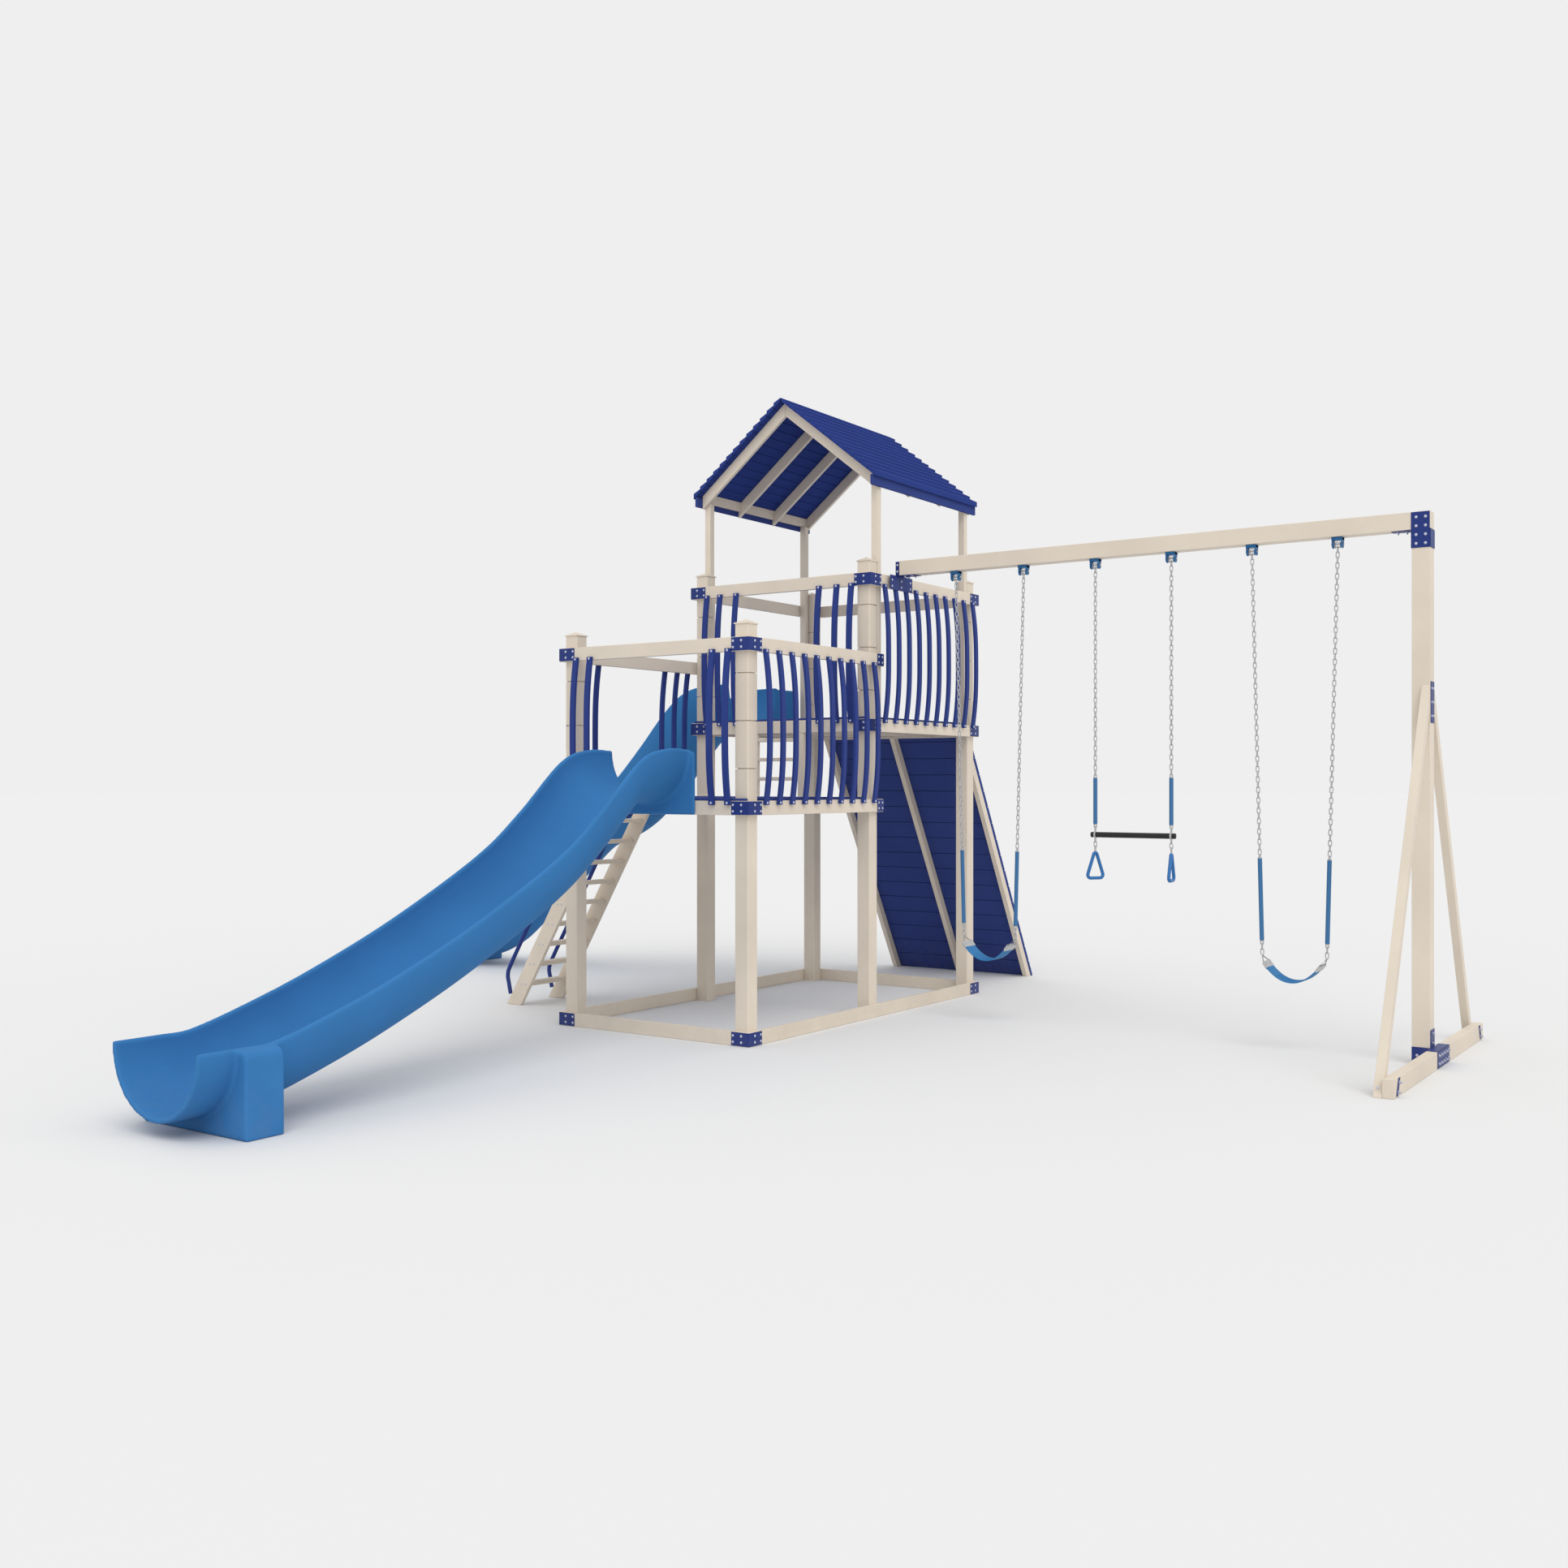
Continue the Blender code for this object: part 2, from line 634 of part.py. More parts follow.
def make_slides():
    make_slide(
        "slide_front", FRONT_RIM_LINE, 0.379, LOWER_RIM_TOP - BOARD_HEIGHT, (3.128, 3.339),
        (0.0, TOWER_FRONT, 0.0), 0.0,
    )
    make_slide(
        "slide_left", LEFT_RIM_LINE, 0.633, UPPER_RIM_TOP - BOARD_HEIGHT, (3.19, 3.40),
        (-HALF, LEFT_SLIDE_MIDDLE, 0.0), -90.0,
    )


def ladder_front(z):
    """The x of the stringers' climbing edge at a height."""
    return LADDER_FOOT + LADDER_LEAN * z


def make_ladder():
    face = -HALF - GAP
    back_foot = LADDER_FOOT + LADDER_FOOT_WIDTH
    meets = (face - back_foot) / LADDER_LEAN
    top = LOWER_RIM_TOP
    stringer = [(LADDER_FOOT, 0), (back_foot, 0), (face, meets), (face, top), (ladder_front(top), top)]
    pieces = [
        slab(stringer, LADDER_NEAR, LADDER_NEAR + STRINGER, "y"),
        slab(stringer, LADDER_FAR - STRINGER, LADDER_FAR, "y"),
    ]
    for k in range(TREADS):
        z = FIRST_TREAD + TREAD_RISE * k
        x = ladder_front(z) + (LADDER_FOOT_WIDTH - TREAD_DEPTH) / 2
        near, far = LADDER_NEAR + STRINGER - 2 * OVERLAP, LADDER_FAR - STRINGER + 2 * OVERLAP
        low = (x, near, z - TREAD_THICKNESS / 2)
        pieces.append(box(low, (x + TREAD_DEPTH, far, z + TREAD_THICKNESS / 2)))
    part("ladder", join(pieces), "almond")
    for name, y in (("near", LADDER_NEAR + STRINGER / 2), ("far", LADDER_FAR - STRINGER / 2)):
        part(f"ladder_handrail_{name}", tube(handrail_line(y), HANDRAIL_RADIUS), "navy")


def handrail_line(y):
    """From one foot of the rail on the stringer, out, up along it and back in."""
    clear = HANDRAIL_RADIUS / math.cos(math.atan(LADDER_LEAN))
    route = (
        (-0.004, 0.075), (-0.066, 0.150), (-0.122, 0.225), (-0.133, 0.330), (-0.130, 0.75),
        (-0.130, 1.16), (-0.122, 1.27), (-0.066, 1.36), (-0.004, 1.42),
    )
    points = [(ladder_front(z) + out - clear, z) for out, z in route]
    return [(spot.x, y, spot.y) for spot in smooth_line(points, 0.09)]


def make_steps():
    """Two short stiles with treads between the decks."""
    y_front, y_back = UPPER_FRONT, UPPER_FRONT + BOARD
    low = LOWER_RIM_TOP + DECK_ABOVE_RIM + GAP
    high = UPPER_RIM_TOP - BOARD_HEIGHT - GAP
    pieces = []
    for x in (-STEP_HALF_WIDTH, STEP_HALF_WIDTH - STEP_STILE):
        pieces.append(box((x, y_front, low), (x + STEP_STILE, y_back, high)))
    rise = (UPPER_RIM_TOP - LOWER_RIM_TOP) / (STEPS + 1)
    half = STEP_HALF_WIDTH - STEP_STILE + 2 * OVERLAP
    for k in range(1, STEPS + 1):
        z = LOWER_RIM_TOP + DECK_ABOVE_RIM + rise * k
        tread_low = (-half, y_front + OVERLAP, z - TREAD_THICKNESS)
        pieces.append(box(tread_low, (half, y_back - OVERLAP, z)))
    part("deck_steps", join(pieces), "almond")


def make_ramp():
    def outer(z):
        return RAMP_FOOT - RAMP_LEAN * z

    panel = [
        (outer(0) - RAMP_PANEL, 0), (outer(0), 0), (outer(RAMP_TOP), RAMP_TOP),
        (outer(RAMP_TOP) - RAMP_PANEL, RAMP_TOP),
    ]
    part("climbing_panel", slab(panel, -RAMP_HALF_WIDTH, RAMP_HALF_WIDTH, "x"), "navy")
    back = RAMP_PANEL + GAP
    front = back + RAMP_STRINGER_DEPTH
    wall = TOWER_BACK + GAP + 2 * PLATE
    meets = (outer(0) - front - wall) / RAMP_LEAN
    top = UPPER_RIM_TOP
    stringer = [
        (outer(0) - front, 0), (outer(0) - back, 0), (outer(top) - back, top), (wall, top), (wall, meets),
    ]
    reach = RAMP_HALF_WIDTH - RAMP_STRINGER / 2
    for name, x in (("left", -reach), ("middle", 0.0), ("right", reach)):
        solid = slab(stringer, x - RAMP_STRINGER / 2, x + RAMP_STRINGER / 2, "x")
        part(f"climbing_stringer_{name}", solid, "almond")


def make_swing_frame():
    half = BEAM / 2
    low, high = SWING_Y - half, SWING_Y + half
    beam_top = BEAM_BOTTOM + BEAM
    part("swing_beam", box((BEAM_START, low, BEAM_BOTTOM), (BEAM_END, high, beam_top)), "almond")
    post_left = BEAM_END - BEAM
    post_top = BEAM_BOTTOM - GAP
    part("swing_post", box((post_left, low, 0), (BEAM_END, high, post_top)), "almond")
    x_brace = BEAM_END - BRACE_THICKNESS
    for name, facing in (("near", 1), ("far", -1)):
        meet = low - GAP
        inner_foot = BRACE_FOOT + BRACE_WIDTH
        outline = [
            (BRACE_FOOT, 0), (inner_foot, 0), (meet, (meet - inner_foot) / BRACE_LEAN),
            (meet, (meet - BRACE_FOOT) / BRACE_LEAN),
        ]
        if facing < 0:
            outline = [(2 * SWING_Y - y, z) for y, z in outline]
        part(f"swing_brace_{name}", slab(outline, x_brace, BEAM_END, "x"), "almond")
    make_ground_beam(low, high, post_left)
    make_beam_brackets(low, high, post_left, beam_top)


def make_ground_beam(low, high, post_left):
    """The ground beam with the saddle that holds the swing post's foot."""
    left = BEAM_END + GAP
    right = left + GROUND_BEAM_WIDTH
    top = GROUND_BEAM_HEIGHT
    plate_reach = 0.154
    pieces = [
        box((left, GROUND_BEAM_START, 0), (right, GROUND_BEAM_END, top)),
        box((right - OVERLAP, SWING_Y - plate_reach, 0.004), (right + PLATE, SWING_Y + plate_reach, top + PLATE)),
        box((left, SWING_Y - plate_reach, top - OVERLAP), (right + PLATE, SWING_Y + plate_reach, top + PLATE)),
        box((left, low, top - OVERLAP), (left + PLATE, high, 0.205)),
        box((post_left, low - GAP - PLATE, 0.004), (left + OVERLAP, low - GAP, top + PLATE)),
        box((post_left, high + GAP, 0.004), (left + OVERLAP, high + GAP + PLATE, top + PLATE)),
    ]
    part("swing_ground_beam", join(pieces), "almond")


def make_beam_brackets(low, high, post_left, beam_top):
    shelf_low = UPPER_RAIL_TOP + GAP
    shelf_high = BEAM_BOTTOM - GAP
    plate_left = HALF + BAR_THICKNESS + 0.004
    tower = [
        box((plate_left, SWING_Y - 0.14, 3.006), (plate_left + PLATE, SWING_Y + 0.17, shelf_high)),
        box((HALF - BOARD, low, shelf_low), (0.96, high, shelf_high)),
        box((BEAM_START - GAP - PLATE, low, shelf_low), (BEAM_START - GAP, high, BEAM_BOTTOM + 0.092)),
    ]
    part("beam_tower_bracket", join(tower), "bracket")
    wrap_low, wrap_high = 3.0, beam_top - 0.002
    inner = post_left - GAP - PLATE
    outer = BEAM_END + GAP + PLATE
    pieces = []
    for y_in, y_out in ((low - GAP, low - GAP - PLATE), (high + GAP, high + GAP + PLATE)):
        ys = sorted((y_in, y_out))
        pieces.append(box((inner, ys[0], wrap_low), (outer, ys[1], wrap_high)))
    edge = half_wrap = GAP + PLATE
    pieces.append(box((BEAM_END + GAP, low - edge, wrap_low), (outer, high + edge, wrap_high)))
    pieces.append(box((inner, low - half_wrap, wrap_low), (inner + PLATE, high + half_wrap, shelf_high)))
    shelf_under = BEAM_BOTTOM - GAP - PLATE
    pieces.append(box((post_left - 0.12, low, shelf_under), (inner + PLATE, high, shelf_high)))
    part("beam_post_bracket", join(pieces), "bracket")


def hanger_x(index):
    return FIRST_HANGER + HANGER_PITCH * index


def make_hanger(index):
    """A yoke under the beam: a top plate, two cheeks and the pin that the chain hangs on."""
    x = hanger_x(index)
    top = BEAM_BOTTOM - GAP
    pieces = [box((x - 0.035, SWING_Y - 0.03, top - PLATE), (x + 0.035, SWING_Y + 0.03, top))]
    drop = PIVOT_Z - 0.020
    for x_side in (-1, 1):
        xs = sorted((x + x_side * CHEEK_SPACE, x + x_side * (CHEEK_SPACE + PLATE)))
        cheek = [(SWING_Y - 0.028, top - OVERLAP), (SWING_Y - 0.028, PIVOT_Z)]
        cheek += arc((SWING_Y, PIVOT_Z), 0.028, 200, 340, 6)
        cheek += [(SWING_Y + 0.028, PIVOT_Z), (SWING_Y + 0.028, top - OVERLAP)]
        cheek = [(y, max(z, drop)) for y, z in cheek]
        pieces.append(slab(cheek, xs[0], xs[1], "x"))
    reach = CHEEK_SPACE + PLATE + 0.006
    pieces.append(rod((x - reach, SWING_Y, PIVOT_Z), (x + reach, SWING_Y, PIVOT_Z), PIN_RADIUS))
    part(f"hanger_{index + 1}", join(pieces), "bracket")


def chain_solid(top_x, foot_x, foot_z, sleeve_high, sleeve_low):
    """One chain as a plain rod, with an eye round the hanger's pin and a grip sleeve."""
    top = Vector((top_x, SWING_Y, PIVOT_Z))
    foot = Vector((foot_x, SWING_Y, foot_z))

    def at(z):
        return top + (foot - top) * ((PIVOT_Z - z) / (PIVOT_Z - foot_z))

    eye_half = CHEEK_SPACE - 0.004
    eye = rod((top_x - eye_half, SWING_Y, PIVOT_Z), (top_x + eye_half, SWING_Y, PIVOT_Z), 0.013, 12)
    chain = rod(at(PIVOT_Z - 0.009), foot, CHAIN_RADIUS)
    sleeve = rod(at(sleeve_high), at(sleeve_low), SLEEVE_RADIUS, 10)
    hole = rod((top_x - 0.03, SWING_Y, PIVOT_Z), (top_x + 0.03, SWING_Y, PIVOT_Z), PIN_RADIUS + 0.0012, 12)
    return cut(join([eye, chain, sleeve]), [hole])


def make_belt_swing(side, first_hanger):
    left_top, right_top = hanger_x(first_hanger), hanger_x(first_hanger + 1)
    left, right = left_top + SEAT_PIVOT_INSET, right_top - SEAT_PIVOT_INSET
    swing = pivot(f"{side}_swing_pivot", ((left_top + right_top) / 2, SWING_Y, PIVOT_Z))
    end_z = SEAT_PIVOT_Z + 0.009
    for name, top_x, foot_x in (("inner", left_top, left), ("outer", right_top, right)):
        solid = chain_solid(top_x, foot_x, end_z, 1.17, 0.665)
        part(f"{side}_swing_chain_{name}", solid, "chain", swing)
    middle = (left + right) / 2
    seat = pivot(f"{side}_seat_pivot", (middle, SWING_Y, SEAT_PIVOT_Z))
    part(f"{side}_swing_seat", seat_solid(middle, (right - left) / 2), "rubber", seat)


def seat_solid(middle, reach):
    """A belt that sags between two end clamps, each with its triangle link."""
    half = reach - 0.024
    belt_ends = 0.53
    sag = belt_ends - SEAT_BOTTOM
    steps = 10
    under = []
    for k in range(steps + 1):
        t = -1 + 2 * k / steps
        under.append((middle + half * t, SEAT_BOTTOM + sag * abs(t) ** 2.1))
    over = [(x, z + BELT_THICKNESS) for x, z in under]
    pieces = [slab(under + over[::-1], SWING_Y - BELT_WIDTH / 2, SWING_Y + BELT_WIDTH / 2, "y")]
    for x_side in (-1, 1):
        end_x = middle + x_side * (half - 0.003)
        tip_x = middle + x_side * reach
        corner = BELT_WIDTH / 2 - 0.008
        tip = (tip_x, SWING_Y, SEAT_PIVOT_Z - 0.002)
        foot_z = belt_ends + BELT_THICKNESS / 2
        link = [tip, (end_x, SWING_Y - corner, foot_z), (end_x, SWING_Y + corner, foot_z)]
        pieces.append(tube(link, 0.004, closed=True, resolution=1))
    return join(pieces)


def make_trapeze():
    left, right = hanger_x(2), hanger_x(3)
    swing = pivot("trapeze_pivot", ((left + right) / 2, SWING_Y, PIVOT_Z))
    bar_top = BAR_Z + TRAPEZE_BAR_RADIUS + GAP
    for name, x in (("inner", left), ("outer", right)):
        part(f"trapeze_chain_{name}", chain_solid(x, x, bar_top, 1.668, 1.366), "chain", swing)
    ends = 0.028
    bar_solid = rod((left - ends, SWING_Y, BAR_Z), (right + ends, SWING_Y, BAR_Z), TRAPEZE_BAR_RADIUS, 16)
    eyes = []
    for x in (left, right):
        eyes.append(rod((x, SWING_Y, BAR_Z - 0.01), (x, SWING_Y, RING_PIVOT_Z + RING_PLAY), CHAIN_RADIUS))
    part("trapeze_bar", join([bar_solid, *eyes]), "black", swing)
    for name, x, turn in zip(("inner", "outer"), (left, right), RING_TURNS):
        hang = pivot(f"ring_{name}_pivot", (x, SWING_Y, RING_PIVOT_Z))
        part(f"trapeze_ring_{name}", ring_solid(x, turn), "blue", hang)


def ring_solid(x, turn):
    """A rounded triangular grip ring on its short chain."""
    low, high = RING_BOTTOM + RING_TUBE, RING_TOP - RING_TUBE
    wide, narrow = 0.022, 0.012
    reach = RING_HALF_WIDTH - wide
    outline = arc((0.0, high - narrow), narrow, 20, 160, 4)
    outline += arc((-reach, low + wide), wide, 160, 270, 4)
    outline += arc((reach, low + wide), wide, 270, 380, 4)
    ring = tube([(across, 0.0, z) for across, z in outline], RING_TUBE, closed=True)
    ring.matrix_basis = Matrix.Translation((x, SWING_Y, 0)) @ Matrix.Rotation(math.radians(turn), 4, "Z")
    link = rod((x, SWING_Y, high - 0.002), (x, SWING_Y, RING_PIVOT_Z - RING_PLAY), CHAIN_RADIUS)
    return join([ring, link])


def make_swings():
    for index in range(6):
        make_hanger(index)
    make_belt_swing("left", 0)
    make_trapeze()
    make_belt_swing("right", 4)


clear_scene()
play_set = new_collection("play_set")
shop = new_collection("shop")
make_posts()
make_base()
make_deck(
    "lower_deck", LOWER_RIM_TOP, TOWER_FRONT, LOWER_BOARD_END, POST_MID_Y + POST / 2 + GAP,
    (POST_FRONT_Y, POST_MID_Y), False,
)
make_deck("upper_deck", UPPER_RIM_TOP, UPPER_FRONT, TOWER_BACK, None, (POST_MID_Y, POST_REAR_Y), True)
make_guards()
make_roof()
make_slides()
make_ladder()
make_steps()
make_ramp()
make_swing_frame()
make_swings()
shop.hide_render = True
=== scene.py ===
"""Looks of the backyard play set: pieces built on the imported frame, their materials, light and camera."""
import json
import math

import bmesh
import bpy
from mathutils import Matrix, Vector


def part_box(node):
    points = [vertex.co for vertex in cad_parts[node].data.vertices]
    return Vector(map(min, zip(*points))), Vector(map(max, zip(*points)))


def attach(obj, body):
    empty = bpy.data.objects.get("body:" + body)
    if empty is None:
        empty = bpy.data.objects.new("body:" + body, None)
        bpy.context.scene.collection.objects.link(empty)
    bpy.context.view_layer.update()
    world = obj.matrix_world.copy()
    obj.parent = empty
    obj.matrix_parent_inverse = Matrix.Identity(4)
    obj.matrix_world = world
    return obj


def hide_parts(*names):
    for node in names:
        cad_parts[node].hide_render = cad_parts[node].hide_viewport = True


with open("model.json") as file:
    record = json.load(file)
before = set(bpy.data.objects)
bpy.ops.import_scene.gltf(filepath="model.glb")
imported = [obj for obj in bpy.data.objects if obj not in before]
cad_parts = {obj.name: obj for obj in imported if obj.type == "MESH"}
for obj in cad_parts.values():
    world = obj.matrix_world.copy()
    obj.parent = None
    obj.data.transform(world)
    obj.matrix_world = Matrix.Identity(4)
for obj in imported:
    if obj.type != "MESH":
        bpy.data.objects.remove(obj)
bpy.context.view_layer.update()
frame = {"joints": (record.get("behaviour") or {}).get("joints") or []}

# Stock sizes, in metres
POST = 0.1016
BOARD = 0.028
BOARD_HEIGHT = 0.09
PLATE = 0.003
STAND_OFF = 0.0004
PLATE_OUT = PLATE + STAND_OFF
BRACKET_ARM = 0.135
BRACKET_HEIGHT = 0.084
BOLT_FROM_CORNER = (0.058, 0.122)
BOLT_ROW = 0.02
DECK_ABOVE_RIM = 0.015
PLANK = 0.024
JOIST_PLACES = (-0.38, 0.0, 0.38)
TREAD_THICKNESS = 0.026
EASE = 0.001
BOARD_EDGE, TIMBER_EDGE, PLATE_EDGE = 0.003, 0.002, 0.0008


def centre(node):
    """The middle of a node's box in the frame."""
    low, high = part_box(node)
    return tuple((a + b) / 2 for a, b in zip(low, high))


# Places taken from the frame
lower_deck_low, lower_deck_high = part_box("lower_deck")
upper_deck_low, upper_deck_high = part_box("upper_deck")
HALF = lower_deck_high.x - PLATE_OUT
LOWER_FRONT, LOWER_END = lower_deck_low.y + PLATE_OUT, lower_deck_high.y - PLATE
UPPER_FRONT, UPPER_BACK = upper_deck_low.y + PLATE_OUT, upper_deck_high.y - PLATE_OUT
LOWER_RIM, UPPER_RIM = lower_deck_high.z - DECK_ABOVE_RIM, upper_deck_high.z - DECK_ABOVE_RIM
LOWER_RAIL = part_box("lower_guard_front")[1].z
UPPER_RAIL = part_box("upper_rail_left")[1].z
BEAM_LOW, BEAM_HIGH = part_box("swing_beam")
SWING_Y = centre("swing_beam")[1]
PIVOT_Z = next(j["pos_m"][2] for j in frame["joints"] if j["name"] == "trapeze_pivot")
POST_X = centre("post_front_right")[0]
FRONT_POST_Y, MID_POST_Y, REAR_POST_Y = (centre(f"post_{row}_right")[1] for row in ("front", "mid", "rear"))

# Guard bars: their ends repeat the frame, their section and curve follow the photograph
BAR_WIDTH, BAR_THICKNESS, BAR_BULGE = 0.041, 0.0185, 0.029
BAR_TOP_BELOW_RAIL, BAR_BOTTOM_BELOW_RIM, BAR_FLAT = 0.070, 0.027, 0.024
BAR_FOOT_OFF = 0.0038
BAR_TOP_BOLT, BAR_FOOT_BOLT = 0.012, 0.0135
BAR_STEPS = 16
BAR_EDGE = 0.001

# Slot, linear colour, roughness, fineness and height of the grain, and shine of each finish
def finish(slot, colour, rough, size, bump, shine, grain=(1, 1, 1), metal=0.0):
    return dict(slot=slot, colour=colour, rough=rough, size=size, bump=bump, shine=shine,
                grain=grain, metal=metal)


LOOKS = {
    "almond": finish("almond", (0.725, 0.640, 0.535), 0.52, 90, 0.10, 0.3),
    "navy": finish("navy", (0.027, 0.049, 0.222), 0.5, 110, 0.15, 0.08),
    # The plank navy is the navy lightened, painted light on the fascia, deck and ramp planks; the course navy
    # is the navy darkened, painted shade on the roof's top between its courses
    "navy_plank_painted_light": finish("navy", (0.041, 0.064, 0.235), 0.65, 26, 0.08, 0.01, grain=(1, 9, 9)),
    "navy_course_painted_shade": finish("navy", (0.029, 0.052, 0.228), 0.7, 26, 0.05, 0.01, grain=(9, 1, 9)),
    "bracket": finish("bracket", (0.017, 0.036, 0.188), 0.40, 260, 0.2, 0.2),
    "blue": finish("blue", (0.044, 0.189, 0.45), 0.55, 16, 0.06, 0.03, grain=(14, 1, 3)),
    "blue_cross": finish("blue", (0.044, 0.189, 0.45), 0.55, 16, 0.06, 0.03, grain=(1, 14, 3)),
    "housing": finish("bracket", (0.014, 0.14, 0.36), 0.4, 200, 0.15, 0.25),
    "grip": finish("blue", (0.045, 0.16, 0.35), 0.42, 180, 0.2, 0.25, grain=(1, 1, 0.3)),
    "ring": finish("blue", (0.035, 0.16, 0.42), 0.4, 180, 0.2, 0.25),
    "steel": finish("chain", (0.52, 0.52, 0.53), 0.38, 150, 0.2, 0.4, metal=0.7),
    "bolt": finish("chain", (0.56, 0.58, 0.70), 0.34, 220, 0.12, 0.5, metal=0.5),
    "belt": finish("rubber", (0.028, 0.18, 0.42), 0.6, 140, 0.3, 0.2, grain=(1, 3, 1)),
    "black": finish("black", (0.018, 0.018, 0.019), 0.5, 120, 0.3, 0.3, grain=(0.2, 1, 1)),
}
SOIL = (0.30, 0.25, 0.19)
SOIL_REACH, SOIL_MOST = 0.30, 0.12
MOTTLE_SCALE, SOIL_SCALE = 2.2, 16.0
NOISE_LOW, NOISE_HIGH = 0.3, 0.7
RELIEF = 0.0012


def material(name):
    """A finish with mottling, fine grain, uneven gloss, relief and a little soil near the ground."""
    label = f"{name}_finish"
    if label in bpy.data.materials:
        return bpy.data.materials[label]
    look = LOOKS[name]
    made = bpy.data.materials.new(label)
    made.use_nodes = True
    tree = made.node_tree
    shader = tree.nodes["Principled BSDF"]
    shader.inputs["Metallic"].default_value = look["metal"]
    shader.inputs["Specular IOR Level"].default_value = look["shine"]

    def node(kind, **settings):
        new = tree.nodes.new(kind)
        for key, value in settings.items():
            new.inputs[key].default_value = value
        return new

    def noise(vector, scale, detail):
        new = node("ShaderNodeTexNoise", Scale=scale, Detail=detail)
        tree.links.new(vector, new.inputs["Vector"])
        return new.outputs["Fac"]

    def ranged(value, *ends):
        new = node("ShaderNodeMapRange")
        for socket, number in zip(("From Min", "From Max", "To Min", "To Max"), ends):
            new.inputs[socket].default_value = number
        tree.links.new(value, new.inputs["Value"])
        return new.outputs["Result"]

    def mapped(value, low, high):
        return ranged(value, NOISE_LOW, NOISE_HIGH, low, high)

    def mixed(factor, first, second):
        new = tree.nodes.new("ShaderNodeMix")
        new.data_type = "RGBA"
        tree.links.new(factor, new.inputs["Factor"])
        for socket, colour in ((new.inputs[6], first), (new.inputs[7], second)):
            if isinstance(colour, tuple):
                socket.default_value = (*colour, 1.0)
            else:
                tree.links.new(colour, socket)
        return new.outputs[2]

    place = tree.nodes.new("ShaderNodeTexCoord").outputs["Object"]
    grain = node("ShaderNodeMapping", Scale=look["grain"])
    tree.links.new(place, grain.inputs["Vector"])
    fine = noise(grain.outputs["Vector"], look["size"], 6.0)
    broad = noise(place, MOTTLE_SCALE, 3.0)
    dark = tuple(0.93 * part for part in look["colour"])
    light = tuple(min(1.0, 1.05 * part) for part in look["colour"])
    mottle = mixed(mapped(broad, 0.0, 1.0), dark, light)
    flecked = mixed(mapped(fine, 0.0, 0.35), mottle, dark)
    split = tree.nodes.new("ShaderNodeSeparateXYZ")
    tree.links.new(place, split.inputs["Vector"])
    near_ground = ranged(split.outputs["Z"], 0.0, SOIL_REACH, SOIL_MOST, 0.0)
    patchy = node("ShaderNodeMath")
    patchy.operation = "MULTIPLY"
    tree.links.new(near_ground, patchy.inputs[0])
    tree.links.new(mapped(noise(place, SOIL_SCALE, 5.0), 0.0, 0.7), patchy.inputs[1])
    tree.links.new(mixed(patchy.outputs["Value"], flecked, SOIL), shader.inputs["Base Color"])
    gloss = mapped(broad, look["rough"] - 0.05, look["rough"] + 0.07)
    tree.links.new(gloss, shader.inputs["Roughness"])
    relief = node("ShaderNodeBump", Strength=look["bump"], Distance=RELIEF)
    tree.links.new(fine, relief.inputs["Height"])
    tree.links.new(relief.outputs["Normal"], shader.inputs["Normal"])
    return made


def piece(name, work, look, body="frame", stands_for=(), bevel=0.0, sharp=38.0):
    """Turn a finished mesh under construction into a shown piece that rides on a body."""
    bmesh.ops.recalc_face_normals(work, faces=work.faces)
    mesh = bpy.data.meshes.new(name)
    work.to_mesh(mesh)
    work.free()
    mesh.shade_smooth()
    mesh.set_sharp_from_angle(angle=math.radians(sharp))
    made = bpy.data.objects.new(name, mesh)
    bpy.context.scene.collection.objects.link(made)
    mesh.materials.append(material(look))
    if bevel:
        edge = made.modifiers.new("edges", "BEVEL")
        edge.width = bevel
        edge.segments = 2
        edge.limit_method = "ANGLE"
        edge.angle_limit = math.radians(35)
        edge.harden_normals = True
    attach(made, body)
    if stands_for:
        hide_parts(*stands_for)
    return made


def fittings(name, plates, bolts, word="brackets"):
    """The steel of one assembly: its plates and its bolts."""
    piece(f"{name}_{word}", plates, "bracket", bevel=PLATE_EDGE)
    piece(f"{name}_bolts", bolts, "bolt")


def timber(name, work, node, bevel=BOARD_EDGE):
    """An almond piece that stands for one node of the frame."""
    piece(name, work, "almond", stands_for=(node,), bevel=bevel)


def sided(side, one, other, origin=0.0):
    """Two distances taken to one side of an origin, as rising places."""
    return sorted((origin + side * one, origin + side * other))


def box(work, low, high):
    size = [b - a for a, b in zip(low, high)]
    middle = [(a + b) / 2 for a, b in zip(low, high)]
    bmesh.ops.create_cube(work, size=1.0, matrix=Matrix.LocRotScale(Vector(middle), None, Vector(size)))


AXIS_ORDER = {
    "x": lambda a, b, depth: (depth, a, b),
    "y": lambda a, b, depth: (a, depth, b),
    "z": lambda a, b, depth: (a, b, depth),
}


def prism(work, outline, start, end, across):
    """A flat outline with thickness along an axis: (x, z) for "y", (y, z) for "x", (x, y) for "z"."""
    place = AXIS_ORDER[across]
    rings = [[work.verts.new(place(a, b, depth)) for a, b in outline] for depth in (start, end)]
    work.faces.new(rings[0])
    work.faces.new(rings[1][::-1])
    for k in range(len(outline)):
        work.faces.new((rings[0][k - 1], rings[0][k], rings[1][k], rings[1][k - 1]))


